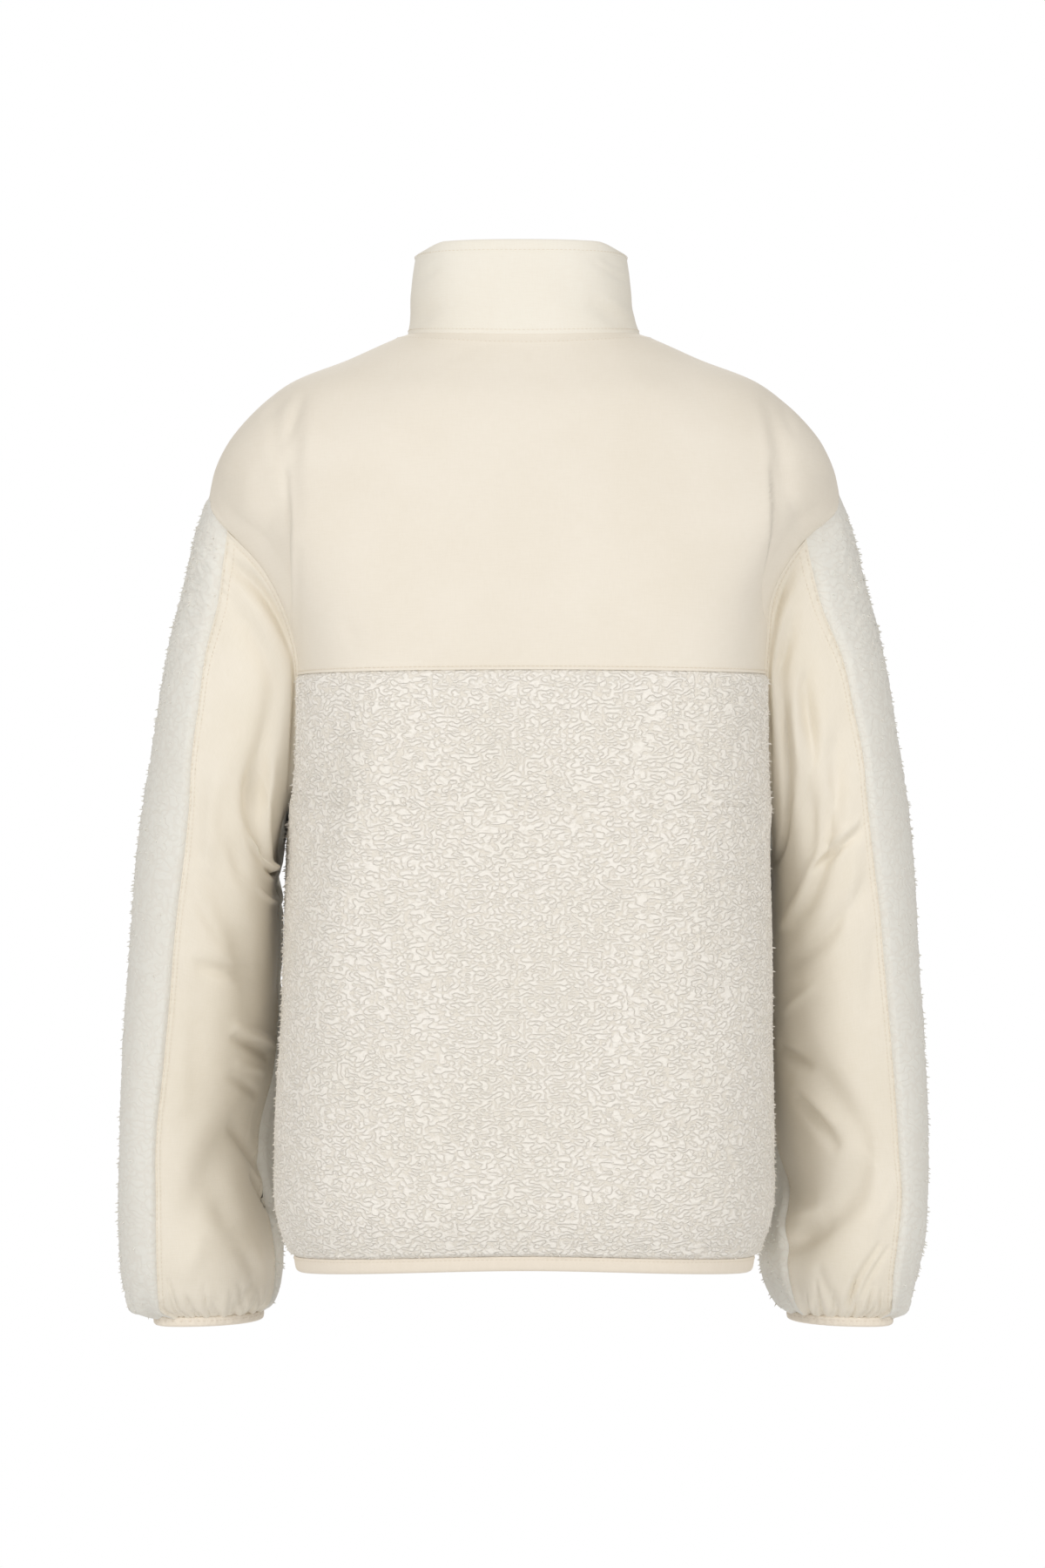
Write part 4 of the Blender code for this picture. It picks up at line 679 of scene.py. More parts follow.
def wall(name, outer, inner, materials, wraps=False):
    # A cloth wall: fine outer grid, coarse inner grid, closed along its edges.
    rows, columns = outer.shape[:2]
    coarseRows, coarseColumns = inner.shape[:2]
    fine = np.arange(rows * columns).reshape(rows, columns)
    coarse = np.arange(coarseRows * coarseColumns).reshape(coarseRows, coarseColumns) + fine.size
    faces = [gridQuads(rows, columns, wraps),
             gridQuads(coarseRows, coarseColumns, wraps)[:, ::-1] + fine.size,
             rimFaces(fine[0], coarse[0], wraps), rimFaces(fine[-1], coarse[-1], wraps)[:, ::-1]]
    if not wraps:
        faces += [rimFaces(fine[:, 0], coarse[:, 0], False)[:, ::-1],
                  rimFaces(fine[:, -1], coarse[:, -1], False)]
    i, j = rows // 2 // inward * inward, columns // 2 // inward * inward
    way = outer[i, j] - inner[i // inward, j // inward]
    up = np.cross(outer[i, j + 1] - outer[i, j], outer[i + 1, j] - outer[i, j])
    if np.dot(up, way) < 0:
        faces = [f[:, ::-1] for f in faces]
    points = askew(np.concatenate([outer.reshape(-1, 3), inner.reshape(-1, 3)]))
    across = np.linalg.norm(np.diff(outer, axis=1), axis=-1)
    u = np.concatenate([np.zeros((rows, 1)), np.cumsum(across, axis=1)], axis=1)
    u = u - u[:, columns // 2:columns // 2 + 1]
    down = np.linalg.norm(np.diff(outer[:, columns // 2], axis=0), axis=-1)
    v = np.broadcast_to(np.concatenate([[0], np.cumsum(down)])[:, None], u.shape)
    uvFine = np.stack([u, v], -1)
    uv = np.concatenate([uvFine.reshape(-1, 2), uvFine[coarsely].reshape(-1, 2)])
    kinds = [0, 1] + [0] * (len(faces) - 2) if len(materials) > 1 else None
    return addMesh(name, points, faces, materials, kinds, uv)


def nodeOf(name):
    # The CAD node's name: a small letter and an underscore for each capital.
    return "".join("_" + letter.lower() if letter.isupper() else letter for letter in name)


def clothPiece(piece, node=None):
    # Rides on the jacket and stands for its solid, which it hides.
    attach(piece, "jacket")
    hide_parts(node or nodeOf(piece.name))


def linear(hexColour):
    # sRGB to linear: below 0.04045 a 12.92th, above it ((c + 0.055) / 1.055)^2.4.
    parts = np.array([int(hexColour[i:i + 2], 16) for i in (1, 3, 5)]) / 255
    return (*np.where(parts <= 0.04045, parts / 12.92, ((parts + 0.055) / 1.055) ** 2.4), 1.0)


def feed(tree, node, inputs):
    # Links each socket, and sets each plain value, at the node's own inputs.
    for name, value in inputs.items():
        if isinstance(value, bpy.types.NodeSocket):
            tree.links.new(value, node.inputs[name])
        else:
            node.inputs[name].default_value = value


def addNode(tree, kind, inputs=(), output=0, **settings):
    # Adds one node with its settings, values and links, and gives one of its outputs.
    made = tree.nodes.new("ShaderNode" + kind)
    for name, value in settings.items():
        setattr(made, name, value)
    feed(tree, made, dict(inputs))
    return made.outputs[output]


def newMaterial(name, roughness, sheen=0.0, sheenRoughness=0.5, specular=0.5):
    # A shader whose constant finish is set on its own sockets.
    material = bpy.data.materials.new(name)
    material.use_nodes = True
    shader = material.node_tree.nodes["Principled BSDF"]
    feed(material.node_tree, shader, {
        "Roughness": roughness, "Sheen Weight": sheen, "Sheen Roughness": sheenRoughness,
        "Specular IOR Level": specular})
    return material, material.node_tree, shader


def finished(material, shader, colours, relief=None):
    # Gives the shader its mixed colours, and its relief where there is one.
    tree = material.node_tree
    feed(tree, shader, {"Base Color": addNode(tree, "Mix", colours, 2, data_type="RGBA")})
    if relief:
        feed(tree, shader, {"Normal": addNode(tree, "Bump", relief)})
    return material


# groove: a darker colour that is painted shade in the hollows between curls; shade: a tone in random
# patches
fleeceLook = {"tip": "#f9f5ee", "groove": "#ece6db", "shade": "#f5f1e8", "curlMm": 1.05, "fibreMm": 1.0,
              "flecks": 0.25, "wide": 0.0047, "tall": 0.0030, "soft": 0.080}
# The sleeves' fleece is darker than the body's, as painted shade for the less lit sleeves; its cooler
# tone and flatter curls are the cloth's own, and its groove colour is painted shade as on the body
sleeveFleeceShadedLook = {"tip": "#eae9e2", "groove": "#e6e3db", "shade": "#e7e5dd", "curlMm": 0.20,
                    "fibreMm": 1.2, "flecks": 0.15, "wide": 0.0064, "tall": 0.0050, "soft": 0.075}


def windingLines(tree, place, look, shift):
    # exp(-((noise - 0.5) / soft)^2): lines that wind where a noise crosses its middle.
    stretch = (1 / look["wide"], 1 / look["wide"], 1 / look["tall"])
    at = addNode(tree, "Mapping", {"Vector": place, "Scale": stretch, "Location": shift})
    noise = addNode(tree, "TexNoise", {"Vector": at, "Scale": 1.0, "Detail": 0.0})
    off = addNode(tree, "Math", {0: noise, 1: 0.5}, operation="SUBTRACT")
    square = addNode(tree, "Math", {0: off, 1: off}, operation="MULTIPLY")
    scaled = addNode(tree, "Math", {0: square, 1: -1 / look["soft"]**2}, operation="MULTIPLY")
    return addNode(tree, "Math", {0: scaled}, operation="EXPONENT")


def sherpaFleece(name, look):
    # Curly polyester sherpa: matt, light round curls over grooves, with a soft halo where it is seen at
    # a grazing angle. The grooves are bumped down and painted darker, as painted shade.
    material, tree, shader = newMaterial(name, 0.95, sheen=0.25, sheenRoughness=0.6, specular=0.2)
    place = addNode(tree, "TexCoord", output="Object")
    first = windingLines(tree, place, look, (0.0, 0.0, 0.0))
    second = windingLines(tree, place, look, (31.7, 12.9, 47.3))
    # some stretches of the second grooves close up again
    closing = addNode(tree, "TexNoise", {"Vector": place, "Scale": 150.0, "Detail": 1.0})
    opened = addNode(tree, "MapRange", {0: closing, 1: 0.35, 2: 0.62, 3: 0.1, 4: 0.8})
    weak = addNode(tree, "Math", {0: second, 1: opened}, operation="MULTIPLY")
    groove = addNode(tree, "Math", {0: first, 1: weak}, operation="MAXIMUM")
    # single fibres are 0.02 mm; they show as little locks of about 1 mm
    fibres = addNode(tree, "TexNoise", {"Vector": place, "Scale": 1000 / look["fibreMm"], "Detail": 3.0,
                                        "Roughness": 0.6})
    patches = addNode(tree, "TexNoise", {"Vector": place, "Scale": 22.0, "Detail": 2.0})
    patchy = addNode(tree, "MapRange", {0: patches, 1: 0.4, 2: 0.7, 3: 0.0, 4: 0.55})
    flecks = addNode(tree, "MapRange", {0: fibres, 1: 0.5, 2: 0.8, 3: 0.0, 4: look["flecks"]})
    shadeOf = addNode(tree, "Math", {0: groove, 1: flecks}, operation="MAXIMUM")
    tips = {0: patchy, 6: linear(look["tip"]), 7: linear(look["shade"])}
    tips = addNode(tree, "Mix", tips, 2, data_type="RGBA")
    # the grooves take the darker groove colour, painted shade in the hollows between the curls; random
    # fibre flecks take it too
    colours = {0: shadeOf, 6: tips, 7: linear(look["groove"])}
    tufts = addNode(tree, "Math", {0: fibres, 1: 0.3}, operation="MULTIPLY")
    height = addNode(tree, "Math", {0: tufts, 1: groove}, operation="SUBTRACT")
    relief = {"Strength": 0.7, "Distance": look["curlMm"] / 1000, "Height": height}
    return finished(material, shader, colours, relief)


def wovenCloth(name, colour, shade, roughness=0.72, slub=(9.0, 0.9), reliefMm=0.10):
    # Plain-woven polyester shell: smooth and close, with a faint grain of slubs both ways and little
    # sheen.
    material, tree, shader = newMaterial(name, roughness, sheen=0.12, sheenRoughness=0.35,
                                         specular=0.35)
    cut = addNode(tree, "UVMap", uv_map="cut")
    grains = []
    for stretch in ((1000 / slub[0], 1000 / slub[1], 1), (1000 / slub[1], 1000 / slub[0], 1)):
        # threads lie 0.3 mm apart, too close to show, so they are drawn as slubs 0.9 mm wide
        way = addNode(tree, "Mapping", {"Vector": cut, "Scale": stretch})
        grains.append(addNode(tree, "TexNoise", {"Vector": way, "Scale": 1.0, "Detail": 2.0}))
    grain = addNode(tree, "Math", {0: grains[0], 1: grains[1]}, operation="ADD")
    place = addNode(tree, "TexCoord", output="Object")
    cloudy = addNode(tree, "TexNoise", {"Vector": place, "Scale": 16.0, "Detail": 3.0})
    patchy = addNode(tree, "MapRange", {0: cloudy, 1: 0.35, 2: 0.75, 3: 0.0, 4: 0.6})
    fine = addNode(tree, "MapRange", {0: grain, 1: 0.8, 2: 1.25, 3: 0.0, 4: 0.35})
    shadeOf = addNode(tree, "Math", {0: patchy, 1: fine}, operation="ADD", use_clamp=True)
    return finished(material, shader, {0: shadeOf, 6: linear(colour), 7: linear(shade)},
                    {"Strength": 0.5, "Distance": reliefMm / 1000, "Height": grain})


def foldedBinding(name, colour, shade):
    # Narrow folded binding with elastic in it: soft cloth with faint uneven puckers across it.
    material, tree, shader = newMaterial(name, 0.65, sheen=0.1, specular=0.4)
    cut = addNode(tree, "UVMap", uv_map="cut")
    across = addNode(tree, "Mapping", {"Vector": cut, "Scale": (260.0, 60.0, 1.0)})
    ribs = addNode(tree, "TexNoise", {"Vector": across, "Scale": 1.0, "Detail": 2.0})
    grain = addNode(tree, "TexNoise", {"Vector": cut, "Scale": 700.0, "Detail": 2.0})
    both = addNode(tree, "Math", {0: ribs, 1: grain}, operation="MULTIPLY")
    return finished(material, shader, {0: both, 6: linear(shade), 7: linear(colour)},
                    {"Strength": 0.35, "Distance": 0.0002, "Height": both})


def spunThread(name, colour, shade):
    # Spun polyester sewing thread: twisted, matt; the twist is 0.5 mm, drawn as 1 mm flecks.
    material, tree, shader = newMaterial(name, 0.6, specular=0.4)
    place = addNode(tree, "TexCoord", output="Object")
    twist = addNode(tree, "TexNoise", {"Vector": place, "Scale": 1000.0, "Detail": 1.0})
    return finished(material, shader, {0: twist, 6: linear(shade), 7: linear(colour)})


def mouldedPlastic(name, colour, shade, roughness):
    # Moulded or painted hard part: even colour, fine orange-peel that softens its highlights.
    material, tree, shader = newMaterial(name, roughness, specular=0.5)
    place = addNode(tree, "TexCoord", output="Object")
    peel = addNode(tree, "TexNoise", {"Vector": place, "Scale": 1800.0, "Detail": 2.0})
    wear = addNode(tree, "TexNoise", {"Vector": place, "Scale": 240.0, "Detail": 3.0})
    return finished(material, shader, {0: wear, 6: linear(colour), 7: linear(shade)},
                    {"Strength": 0.2, "Distance": 0.00005, "Height": peel})


def paleFloor(name):
    # Matt studio paper.
    material, tree, shader = newMaterial(name, 0.9, specular=0.1)
    place = addNode(tree, "TexCoord", output="Object")
    fibre = addNode(tree, "TexNoise", {"Vector": place, "Scale": 60.0, "Detail": 2.0})
    return finished(material, shader, {0: fibre, 6: linear("#f7f7f6"), 7: linear("#fafafa")})


fleece = sherpaFleece("sherpaFleecePile", fleeceLook)
# the sleeves' copy of the fleece, painted darker as shade
sleeveFleece = sherpaFleece("sherpaFleeceSleeve", sleeveFleeceShadedLook)
fleeceBack = wovenCloth("knitBackOfFleece", "#e9e3d6", "#dfd8c9", 0.85, (3.0, 1.2), 0.12)
yokeCloth = wovenCloth("plainWovenYoke", "#f0e9dc", "#ebe3d4", 0.62)
collarCloth = wovenCloth("plainWovenCollar", "#f3efe4", "#efe9dc", 0.62)
sleeveCloth = wovenCloth("plainWovenSleeve", "#f0e9db", "#eae2d1", 0.5)
shellBack = wovenCloth("wovenShellInside", "#e4dbca", "#dad0bd", 0.7)
binding = foldedBinding("foldedElasticBinding", "#faf1e4", "#f0e6d6")
thread = spunThread("spunPolyesterThread", "#eee5d6", "#ded2bf")
tapeCloth = wovenCloth("herringboneZipTape", "#d9cfbd", "#cfc4b0", 0.6, (2.0, 0.8), 0.15)
toothPlastic = mouldedPlastic("mouldedAcetalTeeth", "#d8cdb9", "#cdc1ab", 0.35)
zipPaint = mouldedPlastic("paintedZincSlider", "#cfc3ae", "#c4b7a0", 0.3)
print("materials made")

panels = {
    "fleeceRows": 305, "backColumns": 281, "frontColumns": 105,
    "yokeRows": 137, "yokeColumns": 249, "yokeFrontColumns": 81,
    "rowsBelow": 228, "roomRows": 240, "roomDegrees": 1.6, "roomHeights": 230, "roomTurns": 0.011,
    "curlHeight": 0.0008, "seamRidge": 0.00050, "stitchDip": 0.00035, "lap": 0.0009,
}


def seamProfile(distance, dipAt=0.0022):
    # A ridge of cloth folded under at the seam, and the dip that the stitch line presses beside it.
    ridge = panels["seamRidge"] * np.exp(-((distance - 0.0008) / 0.0011) ** 2)
    return ridge - panels["stitchDip"] * np.exp(-((distance - dipAt) / 0.0009) ** 2)


def gradedShares(count, crowding):
    # u - crowding * sin(2 pi u) / 2 pi: closer together at both ends.
    u = np.linspace(0, 1, count)
    return u - crowding * np.sin(2 * np.pi * u) / (2 * np.pi)


yokeSeam = armholeHeight(cloth["yokeSeamDegrees"])


def fleeceHeights():
    # Even rows up to the underarm, then rows by the armhole's degrees.
    below = np.linspace(cloth["hemBand"], cloth["underarm"], panels["rowsBelow"] + 1)
    rows = panels["fleeceRows"] - panels["rowsBelow"]
    return np.concatenate([below, armholeHeight(np.linspace(0, cloth["yokeSeamDegrees"], rows))[1:]])


def pileLift(base, pile, clouds, nearSide):
    # The pile's mean height, kept in its share of the room to the cloth beside it.
    coarse = base[coarsely]
    room = np.full(coarse.shape[:2], 0.02)
    chosen = nearSide(coarse)
    room[chosen] = nearest(coarse[chosen], np.concatenate([c.reshape(-1, 3) for c in clouds]))
    limit = np.maximum(cloth["pileRoom"] * (room - cloth["pileClear"]), 0)
    return np.minimum(pile, upsampled(limit, inward))


def curly(base, lift, height):
    # Curls stand on the pile's mean height and shrink with it where it is pressed.
    share = lift / cloth["pile"]
    pebbles = pebble(curlAt(base, 0), curlAt(base, 1))
    return lift + height * (0.3 + 0.7 * share) * (pebbles - 0.55), pebbles


pileLocks = {"sleeve": 900, "back": 1000, "front": 300, "long": 0.0024, "wide": 0.0015, "seed": 5}
locks = {"sleeve": [], "body": []}


def addLocks(kind, points, ways, downs, weights, count):
    # Tapered four-sided locks: rooted under the surface, leaning down the cloth, at random places.
    rng = np.random.default_rng(pileLocks["seed"] + len(locks[kind]))
    share = np.maximum(weights, 0).ravel()
    share = share / share.sum()
    chosen = rng.choice(share.size, count, replace=False, p=share)
    points, ways, downs = [a.reshape(-1, 3)[chosen] for a in (points, ways, downs)]
    axis = unit(ways + 0.6 * downs + rng.normal(0, 0.3, (count, 3)))
    first = unit(np.cross(axis, downs))
    second = np.cross(axis, first)
    tall = pileLocks["long"] * rng.uniform(0.4, 1.0, (count, 1))
    angle = np.arange(4)[None, :, None] * np.pi / 2
    wide = pileLocks["wide"] / 2
    rings = [centre[:, None] + size * (first[:, None] * np.cos(angle) + second[:, None] * np.sin(angle))
             for centre, size in ((points - ways * 0.001, wide), (points + axis * tall, 0.2 * wide))]
    locks[kind].append(askew(np.concatenate(rings, axis=1)))


def fleecePanel(name, heights, turns, quarter, clouds, pressedEdges):
    # A lower body panel: surface + normal * (pile + curls).
    grid = np.repeat(heights[:, None], turns.shape[1], axis=1)
    base = bodySurface(grid, turns)
    way = facing(gridNormals(base), outFrom(base))
    toSide = np.abs(np.abs(turns) - 1) * quarter
    pile = pileBySeams([toSide, grid - heights[0], heights[-1] - grid] + pressedEdges)
    lift = pileLift(base, pile, clouds, lambda p: np.abs(p[..., 0]) > 0.10)
    lift, _ = curly(base, lift, panels["curlHeight"])
    inner = (base - way * cloth["woven"])[coarsely]
    outer = base + way * lift[..., None]
    down = unit(-np.gradient(base, axis=0))
    edges = np.exp(-(toSide / 0.030) ** 2) + 0.1 * np.exp(-((grid - heights[0]) / 0.012) ** 2)
    count = pileLocks["back" if "back" in name else "front"]
    addLocks("body", outer, way, down, (0.02 + edges) * lift, count)
    piece = wall(name, outer, inner, [fleece, fleeceBack])
    clothPiece(piece)


def outFrom(base):
    # From the wearer's middle to the middle of the grid.
    middle = base[base.shape[0] // 2, base.shape[1] // 2]
    return middle - np.array([0.0, 0.0, middle[2]])


def fleecePanels():
    # The back between its side seams, and each front from the side seam to the zip.
    heights = fleeceHeights()
    quarter = quarterLengths(heights)
    clouds = {side: sleeveCloud(side) for side in outward}
    shares = np.linspace(-1, 1, panels["backColumns"])[None, :]
    fleecePanel("backPanel", heights, shares + 0 * quarter, quarter, list(clouds.values()), [])
    edge = turnAt(bodyRing, heights, cloth["halfOpening"])[:, None]
    turns = 1 + (edge - 1) * np.linspace(0, 1, panels["frontColumns"])[None, :]
    for side in outward:
        fleecePanel("frontPanel" + side.capitalize(), heights, turns * outward[side], quarter,
                    [clouds[side]], [(edge - turns) * quarter])


def eased(points, heights, turns):
    # Rows near the tip of the shoulder drawn towards the mean of their neighbours, many times.
    near = 0.5 * np.exp(-((heights[1:-1, None] - cloth["shoulderTip"]) / 0.014) ** 2)
    near = (near * smooth(np.abs(np.abs(turns[1:-1]) - 1) / 0.06))[..., None]
    for _ in range(90):
        points[1:-1] += near * ((points[:-2] + points[2:]) / 2 - points[1:-1])
    return points


def yokePanel(name, heights, turns, quarter, stillEdges):
    # A yoke panel: surface + normal * (creases + seam ridges).
    grid = np.repeat(heights[:, None], turns.shape[1], axis=1)
    base = eased(bodySurface(grid, turns), heights, turns)
    way = facing(gridNormals(base), outFrom(base))
    x = base[..., 0]
    creases = np.where(np.abs(turns) > 1, foldLift(grid, x, frontCreases),
                       foldLift(grid, x, backCreases) + stepLift(grid, x))
    still = smooth((grid - heights[0]) / 0.010) * smooth((heights[-1] - grid) / 0.010)
    lift = creases * still * smooth(np.abs(np.abs(turns) - 1) / 0.16)
    lift = lift + seamProfile(grid - heights[0], 0.0026)
    lift = lift + panels["lap"] * (1 - smooth((grid - heights[0]) / 0.006))
    for distance in stillEdges:
        lift = lift + seamProfile(distance)
    lift = lift + 0.0003 * np.exp(-((heights[-1] - grid - 0.006) / 0.002) ** 2)
    inner = (base + way * (lowest(lift, inward) - cloth["woven"])[..., None])[coarsely]
    piece = wall(name, base + way * lift[..., None], inner, [yokeCloth, shellBack])
    clothPiece(piece)


def yokeHeights():
    # By the armhole's degrees up to the tip of the shoulder, then even; closer at both ends.
    lowest = cloth["yokeSeamDegrees"]
    tall = np.concatenate([armholeHeight(np.linspace(lowest, 180, 81)),
                           np.linspace(cloth["shoulderTip"], cloth["neck"], 49)[1:]])
    return np.interp(gradedShares(panels["yokeRows"], 0.7), np.linspace(0, 1, len(tall)), tall)


def yokes():
    # The back yoke runs forward over the shoulders to the front yokes.
    heights = yokeHeights()
    quarter = quarterLengths(heights)
    rise = (heights - cloth["shoulderTip"]) / (cloth["neck"] - cloth["shoulderTip"])
    forward = cloth["seamForward"] * smooth(rise)[:, None]
    turns = (2 * gradedShares(panels["yokeColumns"], 0.6)[None, :] - 1) * (1 + forward)
    yokePanel("yokeBack", heights, turns, quarter, [])
    start = 1 + forward
    edge = turnAt(bodyRing, heights, cloth["halfOpening"])[:, None]
    turns = start + (edge - start) * gradedShares(panels["yokeFrontColumns"], 0.6)[None, :]
    for side in outward:
        yokePanel("yokeFront" + side.capitalize(), heights, turns * outward[side], quarter,
                  [(edge - turns) * quarter])


fleecePanels()
yokes()

bands = {
    "collarRows": 49, "collarColumns": 289, "bindingColumns": 321, "bindingRows": 13,
    "hemColumns": 521, "cuffColumns": 240, "cornerFrom": 0.052, "cornerWide": 0.020,
    "cornerDrop": 0.0055,
}


def bandRows(rows, count):
    # Heights along a band, as close as its own rows are, with the stand and depth at each.
    table = np.array(rows)
    heights = np.interp(np.linspace(0, 1, count), np.linspace(0, 1, len(table)), table[:, 0])
    return [heights[:, None]] + [np.interp(heights, table[:, 0], table[:, i])[:, None] for i in (1, 2)]


def bandPiece(name, node, rings, rows, columns, count, materials,
              creases=()):
    # A ring of cloth open at the zip. rows: height, stand of its outer face, depth of its inner one.
    heights, stand, depth = bandRows(rows, count)
    turns = turnAt(rings, heights, cloth["halfOpening"]) * np.linspace(-1, 1, columns)[None, :]
    grid = np.broadcast_to(heights, turns.shape)
    base = around(rings, grid, turns)
    inside = np.clip(grid, heights[0] + 0.001, heights[-1] - 0.001)
    way = slopeNormals(lambda h, t: around(rings, h, t), inside, turns)
    lift = np.broadcast_to(stand, turns.shape)
    # the collar's upper corners are rounded off at its sides
    beside = smooth((np.abs(base[..., 0]) - bands["cornerFrom"]) / bands["cornerWide"])
    beside = beside * smooth((base[..., 1] + 0.045) / 0.04)
    upper = np.clip((grid - cloth["collarBand"]) / (cloth["collarTop"] - cloth["collarBand"]), 0, 1)
    base = base - (bands["cornerDrop"] * beside * upper)[..., None] * np.array([0.0, 0.0, 1.0])
    if creases:
        still = smooth((grid - heights[0]) / 0.004) * smooth((heights[-1] - grid) / 0.004)
        lift = lift + foldLift(grid, base[..., 0], creases) * still * (np.abs(turns) < 1)
    inner = (base + way * (lowest(lift - stand, inward) - depth)[..., None])[coarsely]
    piece = wall(name, base + way * lift[..., None], inner, materials)
    clothPiece(piece, node=node)


def collarAndBands():
    # The collar, its band and the hem's, as (height, stand, depth) down each.
    bandPiece("collarStand", "collar", collarRing, (
        (cloth["neck"], 0.0, 0.0030), (0.664, 0.0004, 0.0030), (0.680, 0.0006, 0.0030),
        (0.696, 0.0004, 0.0030), (cloth["collarBand"], 0.0, 0.0030)),
        bands["collarColumns"], bands["collarRows"], [collarCloth, shellBack],
        collarCreases)
    bandPiece("collarBand", "collar_binding", collarRing, (
        (cloth["collarBand"], 0.0000, 0.0028), (0.7098, 0.0003, 0.0031),
        (0.7120, 0.0004, 0.0031), (0.7162, 0.0004, 0.0031), (0.7175, 0.0000, 0.0027),
        (cloth["collarTop"], -0.0008, 0.0022)),
        bands["bindingColumns"], bands["bindingRows"], [collarCloth])
    bandPiece("hemBand", "hem_binding", bodyRing, (
        (0.0, -0.0010, 0.0010), (0.0008, 0.0003, 0.0022), (0.0022, 0.0010, 0.0026),
        (0.0055, 0.0013, 0.0026), (0.0090, 0.0013, 0.0026), (cloth["hemBand"], 0.0009, 0.0020)),
        bands["hemColumns"], bands["bindingRows"], [binding])


def cuffBand(side):
    # A closed ring of binding with the elastic's small puckers.
    along, stand, depth = bandRows((
        (cloth["sleeveEnd"], 0.0000, 0.0020), (0.5708, 0.0010, 0.0026),
        (0.5728, 0.0014, 0.0026), (0.5752, 0.0011, 0.0026), (0.5760, 0.0004, 0.0022),
        (0.5764, -0.0006, 0.0015)), bands["bindingRows"])
    degrees = np.linspace(0, 360, bands["cuffColumns"] + 1)[None, :-1]
    along, degrees = np.broadcast_arrays(along, degrees)
    plain = plainSleeve(side)
    base = plain(along, degrees)
    way = -slopeNormals(plain, np.clip(along, 0.5712, 0.5760), degrees, stepB=0.5)
    pucker = 0.00022 * np.sin(np.radians(degrees) * 41 + 2 * np.sin(np.radians(degrees) * 5))
    lift = stand + pucker * smooth((cloth["cuffEnd"] - along) / 0.004)
    inner = (base - way * depth[..., None])[coarsely]
    name = "cuffBand" + side.capitalize()
    piece = wall(name, mirrored(base + way * lift[..., None], side), mirrored(inner, side), [binding],
                 wraps=True)
    clothPiece(piece,
               node="cuff_binding_" + side)


sleeves = {
    "rows": 337, "fleeceColumns": 149, "wovenColumns": 81, "creaseDepth": 1.20,
    "curlHeight": 0.00015, "tuftHeight": 0.0019, "tuftSpread": 26, "curlFall": 0.0016,
    "puckerHeight": 0.00022, "puckerLength": 0.0075, "ridge": 0.0007, "gatherShare": 0.45,
    "gatherWidth": 0.0017, "seamFade": 0.010,
}


def cuffCreases(side):
    # The gather creases as folds that rise from the cuff.
    end = cloth["sleeveEnd"] + 0.001
    return tuple((end, degrees, end - length, degrees + drift, sleeves["gatherWidth"], -depth)
                 for degrees, length, drift, depth in cuffGathers[side])


def armCreases(side, along, degrees, hidden=()):
    # (Creases + the hidden ones past the half circle) * depth, still at both ends of the sleeve.
    metres = cloth["sleeveGirth"] / 360
    creases = foldLift(along, np.mod(degrees + 90, 360) - 90, sleeveCreases[side], metres)
    creases = creases + foldLift(along, np.mod(degrees, 360), hidden, metres)
    creases = creases * smooth(along / 0.010) * smooth((cloth["sleeveEnd"] - along) / 0.010)
    return creases * sleeves["creaseDepth"]


